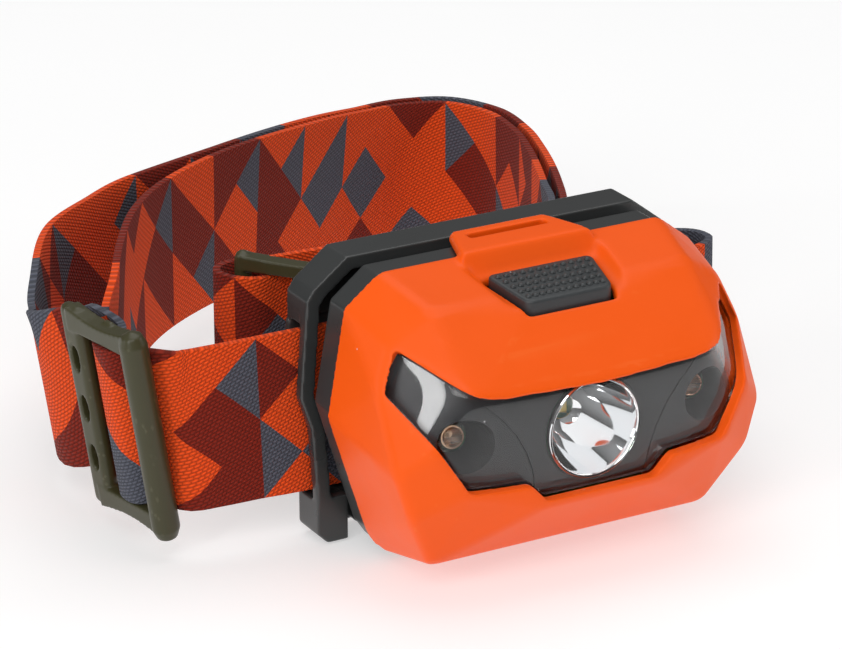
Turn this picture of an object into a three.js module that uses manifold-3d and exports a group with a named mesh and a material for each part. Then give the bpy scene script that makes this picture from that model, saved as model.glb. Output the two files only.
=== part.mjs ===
// A compact three-cell headlamp on a 25 mm elastic headband.
//
// Housing axes, in millimetres: x across the lamp, y from the lens (negative) to the
// forehead, z up. y = 0 is the parting plane between the two housing shells and z = 0 is
// the headband's centre line at the bracket. The whole lamp is then moved so that the row's
// origin is the middle of the rear shell's flat underside.

import * as THREE from 'three';
import { ConvexGeometry } from 'three/addons/geometries/ConvexGeometry.js';
import { mergeVertices } from 'three/addons/utils/BufferGeometryUtils.js';
import Module from 'manifold-3d';

const wasm = await Module();
wasm.setup();

// ---------------------------------------------------------------- driving dimensions

const GAP = 0.3;                 // running gap left between touching pieces
const REST_Y = 4.5;              // the origin lies this far behind the parting plane
const REST_Z = -20;              // height of the surface that the lamp stands on

// Housing outline at the parting plane, right half, from the top middle round to the bottom.
const OUTLINE = [
  [0, 23.3], [22.5, 23.3], [28.2, 18.8], [30.9, 3.6], [25, -15.5], [22.8, -18.8], [0, -19.3],
];
// Front shell's facet corners ahead of the parting plane, right half: x, y, z.
const FACETS = [
  [26.7, -10, 16.8], [29.3, -11.4, 10.5], [28.9, -16.8, 0], [26.5, -16.8, -6], [25.2, -20.3, 4],
  [20.5, -11, 20.9], [8, -14.6, 21], [20.5, -20.2, 12.7], [18.5, -22.2, 11.2], [0, -23, 10.4],
  [20.6, -21.8, -2.4], [11.3, -22.9, -3.4], [8.7, -22.7, -6.2], [22.4, -13.8, -15.8],
];
const SHELL_WALL = 1.7;
const SHELL_REACH = [30.9, 23, 21.5];   // half width, depth and half height that the walls scale by
const SHELL_MIDDLE = [0, 0, 1.5];

// Window opening seen from the front, right half, from the hood down to the chin notch.
const WINDOW = [
  [0, 10.4], [18.3, 11.1], [26.4, 16.4], [29, 10.6], [20.2, -2.6], [11.3, -2.7], [8.7, -5.5], [0, -5.5],
];
const LENS_LAYER = [0.7, 2];     // depths below the shell's outside of the lens's two faces
const PANEL_LAYER = [2.7, 3.7];
const SHEET_END_Y = -9.7;        // lens and panel stop here on the sides of the housing

const BEAM_Z = 2.7;
const REFLECTOR_R = 7.3;
const SIDE_LED = [19.2, 3.3];
const SIDE_LED_R = 2.5;

const BOARD_Y = [-7.2, -6];
const BOARD_BOSSES = [[17, 14.6], [16.5, -10.5]];
const BOSS_R = 1.9;
const PILOT_R = 0.95;
const SWITCH_Y = -9.35;          // middle of the push switch and its plunger

const BUTTON_BACK = [8.6, -4.8, 21.6];   // half width, y, z of the button's rear edge
const BUTTON_FRONT = [6.8, -13.8, 19.9];
const BUTTON_THICK = 1.4;
const TAB_Z = [23, 25];

const REAR_INSET = 0.7;
const REAR_STRAIGHT = 5;         // the rear shell's walls taper behind this y
const REAR_TAPER = 3.6;
const REAR_BACK = 9.5;
const REAR_WALL = 1.3;
const SPIGOT_Y = -2;
const SPIGOT_INSET = 2.9;
const SPIGOT_WALL = 1.1;
const SEAL_Y = [-1.4, -0.8];
const REST_HALF_WIDTH = 20;

const CELL_R = 5.25;             // AAA cell
const CELL_LENGTH = 43.5;
const CELL_Y = 2.7;
const CELL_Z = [-8.4, 2.4, 13.2];
const CONTACT_X = 23.05;
const CELL_BAY = 22.95;          // half length of each cell's own bay

const LID_AXIS = [1.3, -17.9];   // y, z of the hinge between the two shells
const LID_KNUCKLES = [[-17, -11], [11, 17]];
const LID_PIN_R = 0.7;
const LID_BARREL_R = 1.5;
const TILT_AXIS = [10.2, -17];   // y, z of the hinge between the rear shell and the bracket
const TILT_KNUCKLES = [[-19, -13], [13, 19]];
const TILT_PIN_R = 1;
const EAR_WIDTH = 2;
const EAR_R = 1.75;

// Bracket outline and the edge of its tray seen from the front, right half.
const BRACKET = [
  [0, 23], [23.4, 23], [28.6, 19], [29.7, 17.4], [30.9, 3], [29.2, -2],
  [28.4, -13.5], [28.4, -18.4], [26.8, -20], [23.6, -20], [23.6, -14.8], [0, -14.8],
];
const TRAY = [
  [0, 20.9], [22.5, 20.9], [26.6, 17.8], [27.6, 16.5], [28.7, 3], [27.1, -2], [26.2, -13], [0, -13],
];
const BRACKET_Y = [7.8, 14];
const BRACKET_BACK_WALL = 1.6;

const BAND_WIDTH = 25;
const BAND_THICK = 1.2;
const BAND_Y = 11.2;
const LAYER_PITCH = 2.3;         // between the two layers of the loop
const SLOT = [9.6, 12.8, 13.4];  // front, back and half height of the bracket's strap slots

const BUCKLE_HEIGHT = 31;
const BUCKLE_THICK = 2.4;
const SUNK = 0.2;                // the middle bar's face lies this far behind the buckle's middle plane
const SLIDER = { middle: [-52, 22.8, -1.6], along: [-0.308, 0.951], lean: 12 };
const SLIDER_BARS = [[-9, -6], [-1.4, 0.6], [5, 9.2]];
const TRIGLIDE = { middle: [-19.5, 31.5, -1], along: [-0.62, 0.785], lean: 0 };
const TRIGLIDE_BARS = [[-9.5, -6.8], [-1.4, 0.6], [6.8, 9.5]];

// ---------------------------------------------------------------- finishes

const FINISH = {
  orange: { color: 0xf2501a, roughness: 0.42, metalness: 0 },
  grey: { color: 0x43474a, roughness: 0.5, metalness: 0 },
  panel: { color: 0x3c3e41, roughness: 0.45, metalness: 0 },
  rubber: { color: 0x35383c, roughness: 0.75, metalness: 0 },
  clear: { color: 0xf4f8fb, roughness: 0.05, metalness: 0 },
  chrome: { color: 0xe6e8ea, roughness: 0.08, metalness: 1 },
  steel: { color: 0xb7b9bb, roughness: 0.3, metalness: 1 },
  emitter: { color: 0xf1d43a, roughness: 0.5, metalness: 0 },
  board: { color: 0x1d5b36, roughness: 0.5, metalness: 0 },
  cell: { color: 0x3d6f8e, roughness: 0.35, metalness: 0.2 },
  webbing: { color: 0xc8431f, roughness: 0.9, metalness: 0 },
  olive: { color: 0x4f4f34, roughness: 0.45, metalness: 0 },
};

// ---------------------------------------------------------------- solids

function solid(geometry) {
  const source = geometry.clone();
  source.deleteAttribute('normal');
  source.deleteAttribute('uv');
  const merged = mergeVertices(source, 1e-5);
  return new wasm.Manifold(new wasm.Mesh({
    numProp: 3,
    vertProperties: new Float32Array(merged.attributes.position.array),
    triVerts: new Uint32Array(merged.index.array),
  }));
}

function geometryOf(body) {
  const mesh = body.getMesh();
  const geometry = new THREE.BufferGeometry();
  geometry.setAttribute('position', new THREE.BufferAttribute(mesh.vertProperties, 3));
  geometry.setIndex(new THREE.BufferAttribute(mesh.triVerts, 1));
  geometry.computeVertexNormals();
  return geometry;
}

function piece(name, finish, body) {
  const mesh = new THREE.Mesh(geometryOf(body), new THREE.MeshStandardMaterial(FINISH[finish]));
  mesh.name = name;
  return mesh;
}

const join = (...bodies) => bodies.reduce((whole, body) => whole.add(body));
const cut = (whole, ...tools) => tools.reduce((rest, tool) => rest.subtract(tool), whole);

function box(x, y, z) {
  const geometry = new THREE.BoxGeometry(x[1] - x[0], y[1] - y[0], z[1] - z[0]);
  geometry.translate((x[0] + x[1]) / 2, (y[0] + y[1]) / 2, (z[0] + z[1]) / 2);
  return solid(geometry);
}

// A round bar along x, y or z, from its start for the given length.
function rod(axis, radius, start, length, sides = 20) {
  const geometry = new THREE.CylinderGeometry(radius, radius, length, sides);
  geometry.translate(0, length / 2, 0);
  if (axis === 'x') geometry.rotateZ(-Math.PI / 2);
  if (axis === 'z') geometry.rotateX(Math.PI / 2);
  geometry.translate(...start);
  return solid(geometry);
}

// A profile of radius and height turned round the y axis.
function turned(profile, middle, sides = 24) {
  const geometry = new THREE.LatheGeometry(profile.map(([r, h]) => new THREE.Vector2(r, h)), sides);
  geometry.translate(...middle);
  return solid(geometry);
}

const mirrored = (half) => [...half, ...half.filter(([x]) => x > 0).reverse().map(([x, z]) => [-x, z])];

// An outline in x and z, pushed from one y to another.
function prism(outline, y) {
  const shape = new THREE.Shape(outline.map(([x, z]) => new THREE.Vector2(x, z)));
  const geometry = new THREE.ExtrudeGeometry(shape, { depth: y[1] - y[0], bevelEnabled: false });
  geometry.rotateX(Math.PI / 2);
  geometry.translate(0, y[1], 0);
  return solid(geometry);
}

// The outline with every side moved inwards; a negative distance moves them out.
function inset(outline, distance) {
  const turn = Math.sign(THREE.ShapeUtils.area(outline.map(([x, z]) => new THREE.Vector2(x, z))));
  const corner = (index) => {
    const point = (i) => new THREE.Vector2(...outline[(i + outline.length) % outline.length]);
    const here = point(index);
    const before = here.clone().sub(point(index - 1)).normalize();
    const after = point(index + 1).sub(here).normalize();
    const normalBefore = new THREE.Vector2(-before.y, before.x);
    const normalAfter = new THREE.Vector2(-after.y, after.x);
    const middle = normalBefore.clone().add(normalAfter);
    return here.addScaledVector(middle, turn * distance / (1 + normalBefore.dot(normalAfter)));
  };
  return outline.map((_, index) => corner(index).toArray());
}

const hull = (points) => solid(new ConvexGeometry(points.map((p) => new THREE.Vector3(...p))));

// ---------------------------------------------------------------- front housing

const outline = mirrored(OUTLINE);
const window = mirrored(WINDOW);

// The faceted front, drawn in by a wall's thickness, and reaching back to y.
function frontBlock(wall, back) {
  const scale = SHELL_REACH.map((reach) => 1 - wall / reach);
  const both = [...FACETS, ...FACETS.map(([x, y, z]) => [-x, y, z])];
  const drawn = both.map((p) => p.map((v, i) => SHELL_MIDDLE[i] + (v - SHELL_MIDDLE[i]) * scale[i]));
  const rim = inset(outline, wall);
  return hull([...drawn, ...rim.map(([x, z]) => [x, 0, z]), ...rim.map(([x, z]) => [x, back, z])]);
}

function sheetOf([outer, inner], opening) {
  const layer = cut(frontBlock(outer, 0), frontBlock(inner, 1));
  return layer.intersect(prism(opening, [-30, SHEET_END_Y]));
}

// A solid under the button's sloping top: grow widens it, and from and to are heights over the slope.
function buttonBlock(grow, from, to) {
  const corners = [];
  for (const [edge, forward] of [[BUTTON_BACK, grow], [BUTTON_FRONT, -grow]]) {
    for (const side of [-1, 1]) {
      for (const height of [from, to]) {
        corners.push([side * (edge[0] + grow), edge[1] + forward, edge[2] + height]);
      }
    }
  }
  return hull(corners);
}

function lidBarrel([start, end], radius, grow) {
  return rod('x', radius + grow, [start - grow, LID_AXIS[0], LID_AXIS[1]], end - start + 2 * grow);
}

function latchTab() {
  const foot = [[-11.2, -2], [11.2, -2], [9.2, 3], [8, 6.6], [-8, 6.6], [-9.2, 3]];
  const plate = hull(foot.flatMap(([x, y]) => [[x, y, TAB_Z[0]], [x * 0.94, y, TAB_Z[1]]]));
  return cut(plate, box([-6.3, 6.3], [2.9, 4.6], [20, 27]));
}

// One round bar along y at each of the board's four bosses.
function atBosses(radius, from, to, sides) {
  const bar = (x, z) => rod('y', radius, [x, from, z], to - from, sides);
  return BOARD_BOSSES.flatMap(([x, z]) => [bar(-x, z), bar(x, z)]);
}

function frontShell() {
  const walls = cut(frontBlock(0, 0), frontBlock(SHELL_WALL, 1));
  const posts = join(...atBosses(BOSS_R, -24, BOARD_Y[0] - GAP, 14)).intersect(frontBlock(0.4, 0));
  const pilots = atBosses(PILOT_R, BOARD_Y[0] - 5.5, 0, 10);
  const lugs = LID_KNUCKLES.map(([start, end]) => join(
    rod('x', LID_BARREL_R, [start, LID_AXIS[0], LID_AXIS[1]], end - start),
    box([start, end], [-2.8, LID_AXIS[0]], [-19.2, -17.6])));
  const bores = LID_KNUCKLES.map((span) => lidBarrel(span, LID_PIN_R + 0.05, 0.05));
  const hingeRelief = box([-24, 24], [-1.2, 1], [-21, -17.6]);
  const trough = buttonBlock(2.2, -0.9, 5);
  const well = buttonBlock(0.35, -6, 3);
  const open = cut(join(walls, posts), prism(window, [-30, -9.5]), hingeRelief);
  const body = cut(join(open, ...lugs), trough, well, ...pilots, ...bores);
  return cut(join(body, latchTab()), box([-7.5, 7.5], [-1.5, 1.2], [24, 27]));
}

function innerPanel() {
  const sheet = sheetOf(PANEL_LAYER, inset(window, -0.8));
  const leds = [-1, 1].map((side) => rod('y', 3.5, [side * SIDE_LED[0], -26, SIDE_LED[1]], 20));
  return cut(sheet, rod('y', REFLECTOR_R + GAP, [0, -26, BEAM_Z], 20, 32), ...leds);
}

function reflector() {
  const rim = REFLECTOR_R;
  const outside = [[2.2, 0], [4.4, 1.2], [6, 4], [rim - 0.3, 8.6], [rim, 9.6], [rim, 10.6]];
  const inside = [[6.6, 10.6], [6.3, 9.4], [5.2, 4.6], [3.8, 2], [2.2, 0.8]];
  const cup = turned([...outside, ...inside, outside[0]], [0, 0, 0], 32);
  return cup.rotate([180, 0, 0]).translate([0, -9.4, BEAM_Z]);
}

function domedLed(x) {
  const r = SIDE_LED_R;
  const profile = [[0, 0], [r + 0.4, 0], [r + 0.4, 1], [r, 1], [r, 4.1], [r - 0.4, 5.7], [r - 1.3, 6.6], [0, 6.9]];
  return turned(profile, [0, 0, 0], 20).rotate([180, 0, 0]).translate([x, -8.8, SIDE_LED[1]]);
}

function circuitBoard() {
  const plate = mirrored([[0, 16.5], [20, 16.5], [24, 14], [24.5, 3], [20.5, -13], [0, -13]]);
  return cut(prism(plate, BOARD_Y), ...atBosses(1.35, -9, -3, 12));
}

function boardScrew(x, z) {
  const head = rod('y', 1.9, [x, BOARD_Y[1] + GAP, z], 1.1, 14);
  const cross = box([x - 1.1, x + 1.1], [BOARD_Y[1] + 1, 0], [z - 0.25, z + 0.25]);
  return cut(join(head, rod('y', 0.65, [x, BOARD_Y[0] - 4.5, z], 6.5, 10)), cross);
}

const tactSwitch = () => box([-3, 3], [BOARD_Y[0] - 4, BOARD_Y[0] - GAP], [11.6, 15.1]);
const tactPlunger = () => rod('z', 1.2, [0, SWITCH_Y, 15.4], 1.7, 14);
const emitterBoard = () => rod('y', 4.2, [0, -8.9, BEAM_Z], 1.4, 24);
const mainEmitter = () => hull([-1.3, 1.3].flatMap((x) => [-1.3, 1.3].flatMap((z) => [
  [x, -9.2, BEAM_Z + z], [x * 0.6, -10.4, BEAM_Z + z * 0.6]])));

function buttonPad() {
  const stem = rod('z', 1.6, [0, SWITCH_Y, 17.5], 2, 14);
  return join(buttonBlock(0, -BUTTON_THICK, 0), stem);
}

function frontHousing() {
  const group = new THREE.Group();
  group.add(
    piece('front_shell', 'orange', frontShell()),
    piece('window_lens', 'clear', sheetOf(LENS_LAYER, inset(window, GAP))),
    piece('inner_panel', 'panel', innerPanel()),
    piece('reflector', 'chrome', reflector()),
    piece('main_led_board', 'board', emitterBoard()),
    piece('main_led', 'emitter', mainEmitter()),
    piece('side_led_left', 'clear', domedLed(-SIDE_LED[0])),
    piece('side_led_right', 'clear', domedLed(SIDE_LED[0])),
    piece('circuit_board', 'board', circuitBoard()),
    piece('switch_body', 'steel', tactSwitch()),
    piece('switch_plunger', 'rubber', tactPlunger()),
    piece('button_pad', 'rubber', buttonPad()),
  );
  BOARD_BOSSES.forEach(([x, z], row) => {
    group.add(piece(`board_screw_left_${row + 1}`, 'steel', boardScrew(-x, z)));
    group.add(piece(`board_screw_right_${row + 1}`, 'steel', boardScrew(x, z)));
  });
  return group;
}

// ---------------------------------------------------------------- rear housing

function rearBlock(wall) {
  const side = inset(outline, REAR_INSET + wall);
  const back = inset(outline, REAR_INSET + REAR_TAPER + wall);
  const end = REAR_BACK - wall;
  return hull([...side.map(([x, z]) => [x, GAP, z]), ...side.map(([x, z]) => [x, REAR_STRAIGHT, z]),
    ...back.map(([x, z]) => [x, end, z])]);
}

function tiltKnuckle([start, end]) {
  const profile = [[6.2, -18.3], [6.6, -16.4], [9.2, -13.9], [10.2, -15.4], [10.2, -18.6]];
  const arm = hull(profile.flatMap(([y, z]) => [[start, y, z], [end, y, z]]));
  return join(arm, rod('x', 1.7, [start, TILT_AXIS[0], TILT_AXIS[1]], end - start));
}

function cradle() {
  const ribs = [-12, 12].map((x) => box([x - 0.8, x + 0.8], [3.5, REAR_BACK - 1], [-15.5, 17.5]));
  const cells = CELL_Z.map((z) => rod('x', CELL_R + GAP, [-30, CELL_Y, z], 60));
  return cut(join(...ribs), ...cells);
}

function rearShell() {
  const plinth = hull([[-1, 1], [1, 1], [-1, 7.6], [1, 7.6]].flatMap(([side, y]) => [
    [side * REST_HALF_WIDTH, y, REST_Z], [side * (REST_HALF_WIDTH + 1.5), y, -17.4]]));
  const cells = CELL_Z.map((z) => rod('x', CELL_R + GAP, [-CELL_BAY, CELL_Y, z], 2 * CELL_BAY));
  const spigot = prism(inset(outline, SPIGOT_INSET), [SPIGOT_Y, 1]);
  const mouth = prism(inset(outline, SPIGOT_INSET + SPIGOT_WALL), [-5, 1.6]);
  const grooveBand = prism(outline, [SEAL_Y[0] - GAP, SEAL_Y[1] + GAP]);
  const groove = cut(grooveBand, prism(inset(outline, SPIGOT_INSET + 0.7), [-3, 0]));
  const cavity = rearBlock(REAR_WALL).intersect(box([-40, 40], [1.5, 20], [-17.2, 40]));
  const knuckles = TILT_KNUCKLES.map(tiltKnuckle);
  const barrels = LID_KNUCKLES.map((span) => lidBarrel(span, LID_BARREL_R, 0.4));
  const clearances = LID_KNUCKLES.flatMap(([start, end]) => [
    box([start - 0.4, end + 0.4], [-6, LID_AXIS[0] + 0.4], [-21, -16]),
    box([start - 0.4, end + 0.4], [-6, LID_AXIS[0] + 2.1], [-21, LID_AXIS[1]])]);
  const pinBores = LID_KNUCKLES.map((span) => hingePin(span, LID_AXIS, LID_PIN_R + 0.1, 3));
  const tiltBores = TILT_KNUCKLES.map((span) => hingePin(span, TILT_AXIS, TILT_PIN_R + 0.05, 1));
  const shell = cut(join(rearBlock(0), plinth, spigot), cavity, mouth, groove, ...cells);
  return cut(join(shell, ...knuckles, cradle()), ...barrels, ...clearances, ...pinBores, ...tiltBores);
}

function bodySeal() {
  const outer = prism(inset(outline, SPIGOT_INSET - 0.1), SEAL_Y);
  return cut(outer, prism(inset(outline, SPIGOT_INSET + 0.4), [-3, 0]));
}

function cell() {
  const half = CELL_LENGTH / 2;
  const profile = [[0, -half], [CELL_R - 0.5, -half], [CELL_R, 0.5 - half], [CELL_R, half - 0.5],
    [CELL_R - 0.5, half], [1.9, half], [1.9, half + 1], [0, half + 1]];
  return turned(profile, [0, 0, 0], 24);
}

function placedCell(index) {
  const direction = index % 2 === 0 ? 90 : -90;
  return cell().rotate([0, 0, direction]).translate([0, CELL_Y, CELL_Z[index]]);
}

function contactPlate(side, rows) {
  const heights = rows.map((row) => CELL_Z[row]);
  const low = Math.min(...heights) - 3.4;
  const high = Math.max(...heights) + 3.4;
  const x = side * CONTACT_X;
  return box([x - 0.15, x + 0.15], [1.9, 5.6], [low, high]);
}

function hingePin(span, axis, radius, overhang) {
  const length = span[1] - span[0] + 2 * overhang;
  return rod('x', radius, [span[0] - overhang, axis[0], axis[1]], length, 14);
}

function rearHousing() {
  const group = new THREE.Group();
  group.add(
    piece('rear_shell', 'grey', rearShell()),
    piece('body_seal', 'rubber', bodySeal()),
    piece('contact_left_link', 'steel', contactPlate(-1, [0, 1])),
    piece('contact_left_end', 'steel', contactPlate(-1, [2])),
    piece('contact_right_end', 'steel', contactPlate(1, [0])),
    piece('contact_right_link', 'steel', contactPlate(1, [1, 2])),
  );
  CELL_Z.forEach((_, index) => group.add(piece(`battery_${index + 1}`, 'cell', placedCell(index))));
  LID_KNUCKLES.forEach((span, index) => {
    group.add(piece(`lid_pin_${index + 1}`, 'steel', hingePin(span, LID_AXIS, LID_PIN_R, 2)));
  });
  return group;
}

// ---------------------------------------------------------------- bracket

function bracket() {
  const [front, back] = BRACKET_Y;
  const [slotFront, slotBack, slotHalf] = SLOT;
  const tray = cut(prism(mirrored(BRACKET), BRACKET_Y), prism(mirrored(TRAY), [0, back - BRACKET_BACK_WALL]));
  const sides = [-1, 1];
  const slots = sides.map((side) => box(
    [side * 30 - 6, side * 30 + 6], [slotFront, slotBack], [-slotHalf, slotHalf]));
  const notches = sides.map((side) => box(
    [side * 31 - 1.2, side * 31 + 1.2], [slotFront, back + 1], [13, 15.4]));
  const relief = box([-23.6, 23.6], [0, REAR_BACK + 0.8], [-21, -8]);
  const base = box([-23.8, 23.8], [TILT_AXIS[0] + 2.1, back], [-19.2, -13.5]);
  const ears = TILT_KNUCKLES.flatMap(([start, end]) => [
    [start - EAR_WIDTH - GAP, start - GAP], [end + GAP, end + EAR_WIDTH + GAP]]);
  const lugs = ears.map(([from, to]) => join(
    rod('x', EAR_R, [from, TILT_AXIS[0], TILT_AXIS[1]], to - from),
    box([from, to], [TILT_AXIS[0], back], [TILT_AXIS[1] - EAR_R, TILT_AXIS[1] + EAR_R])));
  const bores = TILT_KNUCKLES.map((span) => hingePin(span, TILT_AXIS, TILT_PIN_R + 0.05, 4));
  return cut(join(cut(tray, relief), base, ...lugs), ...slots, ...notches, ...bores);
}

// ---------------------------------------------------------------- buckles and headband

// A buckle's own axes: s along the webbing, n out of its face, w across the webbing.
function place({ middle, along, lean }) {
  const flat = new THREE.Vector3(along[0], along[1], 0).normalize();
  const out = new THREE.Vector3(flat.y, -flat.x, 0).multiplyScalar(-1);
  const tilt = new THREE.Quaternion().setFromAxisAngle(out, THREE.MathUtils.degToRad(lean));
  const s = flat.clone().applyQuaternion(tilt);
  const w = new THREE.Vector3().crossVectors(out, s);
  return { s, n: out, w, middle: new THREE.Vector3(...middle) };
}

function frameMatrix(frame) {
  return new THREE.Matrix4().makeBasis(frame.s, frame.w, frame.n).setPosition(frame.middle);
}

// A flat outline in s and w, extruded evenly either side of the buckle's middle plane.
function slab(frame, points, thickness) {
  const shape = new THREE.Shape(points.map(([s, w]) => new THREE.Vector2(s, w)));
  const plate = new THREE.ExtrudeGeometry(shape, { depth: thickness, bevelEnabled: false });
  plate.translate(0, 0, -thickness / 2);
  plate.applyMatrix4(frameMatrix(frame));
  return solid(plate);
}

function buckle(frame, bars, holes) {
  const left = bars[0][0];
  const right = bars[2][1];
  const half = BUCKLE_HEIGHT / 2;
  const corner = 1.1;
  const blank = slab(frame, [
    [left + corner, -half], [right - corner, -half], [right, corner - half], [right, half - corner],
    [right - corner, half], [left + corner, half], [left, half - corner], [left, corner - half],
  ], BUCKLE_THICK);
  const reach = (BAND_WIDTH + 1) / 2;
  const windows = bars.slice(1).map(([near], index) => {
    const far = bars[index][1];
    return slab(frame, [[far, -reach], [near, -reach], [near, reach], [far, reach]], 2 * BUCKLE_THICK);
  });
  const ovals = holes.map(([s, w]) => {
    const points = new THREE.EllipseCurve(s, w, 0.8, 2.1).getPoints(12).slice(0, -1);
    return slab(frame, points.map((point) => point.toArray()), 2 * BUCKLE_THICK);
  });
  const raised = { ...frame, middle: frame.middle.clone().addScaledVector(frame.n, BUCKLE_THICK / 2 - SUNK) };
  const [from, to] = [bars[0][1], bars[2][0]];
  const sunk = slab(raised, [[from, -reach], [to, -reach], [to, reach], [from, reach]], BUCKLE_THICK);
  return cut(blank, ...windows, ...ovals, sunk);
}

const slider = place(SLIDER);
const triglide = place(TRIGLIDE);
const on = (frame, s, n) => frame.middle.clone().addScaledVector(frame.s, s).addScaledVector(frame.n, n).toArray();

const UP = new THREE.Vector3(0, 0, 1);

// The webbing's centre line, in the order that it is threaded.
const LAMP_RUN = [
  on(triglide, -11, 0.6), [-6, 20.6, -0.6], [8, 19.2, -0.3], [26, 19.2, 0], [36, 19.6, 0],
  [40.4, 17, 0], [40.6, 13.4, 0], [36.5, BAND_Y, 0], [30, BAND_Y, 0], [0, BAND_Y, 0],
  [-30, BAND_Y, 0], [-37, BAND_Y + 0.3, 0.3], on(slider, -13.5, -3.4), on(slider, -9.4, -2.9),
];
const SLIDER_WEAVE = [
  on(slider, -9, -2.9), on(slider, -6.6, -2.6), on(slider, -5, -1.9), on(slider, -3.2, -0.4),
  on(slider, -1.7, 0.9), on(slider, 0.8, 0.9), on(slider, 2.1, 0.4), on(slider, 3.5, -1.4),
  on(slider, 4.8, -2.5), on(slider, 7, -2.9),
];
const LOOP_LEFT = [[-53.6, 43, -3], [-48.8, 54.5, -1.5], [-40, 69, -0.8], [-29.7, 77.4, -0.9], [-22, 82.6, -1]];
const LOOP_FAR = [
  [-3.6, 90.6, -1.6], [18, 102, -4], [31, 108.8, -6.2], [42.5, 112.4, -7.4], [50.5, 109.6, -7.5],
  [55, 100.5, -7.5], [54, 89, -7.4], [50.8, 79, -7.2], [43.4, 61.5, -6.3], [36, 47.5, -4.6],
];
const OUTER_LOOP = [
  on(slider, 7.4, -2.9), on(slider, 12, -3.2), ...LOOP_LEFT, ...LOOP_FAR,
  [27.5, 36.8, -3], [14, 31, -2], [0, 29, -1.4], on(triglide, -10.3, -2.6),
];
const RING_FOLD = [
  on(triglide, -9.2, -2.6), on(triglide, -1, -2.6), on(triglide, 1.6, -2.4),
  on(triglide, 3.2, -0.6), on(triglide, 4.6, 1.6), on(triglide, 6.4, 2.6), on(triglide, 9, 2.7),
  on(triglide, 11.6, 1.6), on(triglide, 12.4, -0.6), on(triglide, 11.2, -3.4), on(triglide, 9, -4.8),
];
const INNER_LOOP = [
  on(triglide, 8.6, -5), [-14, 40.8, -1], [-4.3, 39.8, -1], [8, 38.4, -1.4], [21, 39, -2.4],
  ...alongside(LOOP_FAR, LAYER_PITCH).reverse(), [-18, 79, -1.2], [-27, 70, -1], [-34.5, 58.5, -1],
  [-41, 47, -1.6], [-47, 37.5, -3], on(slider, 9, -5.6), on(slider, 3.4, -4.9), on(slider, 0.4, -3),
];

// The same route, moved sideways towards the inside of the loop.
function alongside(points, distance) {
  return points.map(([x, y, z], index) => {
    const before = points[Math.max(index - 1, 0)];
    const after = points[Math.min(index + 1, points.length - 1)];
    const along = new THREE.Vector2(after[0] - before[0], after[1] - before[1]).normalize();
    return [x + along.y * distance, y - along.x * distance, z];
  });
}

// Flat webbing: a long thin block bent along a route, its width kept as near to the up
// direction as the route lets it be.
function webbing(points, step, up) {
  const curve = new THREE.CatmullRomCurve3(points.map((p) => new THREE.Vector3(...p)), false, 'centripetal');
  const steps = Math.max(4, Math.round(curve.getLength() / step));
  const strip = new THREE.BoxGeometry(1, BAND_WIDTH, BAND_THICK, steps, 1, 1);
  const flat = new THREE.Vector3();
  for (let index = 0; index < strip.attributes.position.count; index += 1) {
    flat.fromBufferAttribute(strip.attributes.position, index);
    const at = THREE.MathUtils.clamp(flat.x + 0.5, 0, 1);
    const along = curve.getTangentAt(at);
    const width = up.clone().addScaledVector(along, -up.dot(along)).normalize();
    const side = new THREE.Vector3().crossVectors(along, width);
    const bent = curve.getPointAt(at).addScaledVector(width, flat.y).addScaledVector(side, flat.z);
    strip.attributes.position.setXYZ(index, ...bent.toArray());
  }
  return solid(strip);
}

function headband() {
  const group = new THREE.Group();
  const holes = [-8, 0, 8].map((w) => [7.1, w]);
  group.add(
    piece('slider_buckle', 'olive', buckle(slider, SLIDER_BARS, holes)),
    piece('triglide_buckle', 'olive', buckle(triglide, TRIGLIDE_BARS, [])),
    piece('band_lamp_run', 'webbing', webbing(LAMP_RUN, 4, UP)),
    piece('band_slider_weave', 'webbing', webbing(SLIDER_WEAVE, 1.2, slider.w)),
    piece('band_outer_loop', 'webbing', webbing(OUTER_LOOP, 6, UP)),
    piece('band_ring_fold', 'webbing', webbing(RING_FOLD, 1.6, UP)),
    piece('band_inner_loop', 'webbing', webbing(INNER_LOOP, 6, UP)),
  );
  return group;
}

// ---------------------------------------------------------------- the headlamp

function headlamp() {
  const group = new THREE.Group();
  group.add(frontHousing(), rearHousing(), headband(), piece('bracket', 'grey', bracket()));
  TILT_KNUCKLES.forEach((span, index) => {
    group.add(piece(`tilt_pin_${index + 1}`, 'steel', hingePin(span, TILT_AXIS, TILT_PIN_R, 2.3)));
  });
  group.position.set(0, -REST_Y, -REST_Z);
  return group;
}

export default headlamp();
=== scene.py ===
"""The looks of a compact three-cell headlamp on a 25 mm elastic headband.

Lengths inside the classes are millimetres on the housing's own axes: x across the lamp, y from the
lens (negative) towards the forehead, z up, with y = 0 at the parting plane between the two housing
shells and z = 0 at the headband's centre line. HOUSING_TO_ROW takes them to the shared frame.
"""

import logging
import math
from collections.abc import Callable, Mapping, Sequence
from dataclasses import dataclass, field
from enum import Enum
from typing import Any

import bmesh
import bpy
from mathutils import Matrix, Vector


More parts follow.
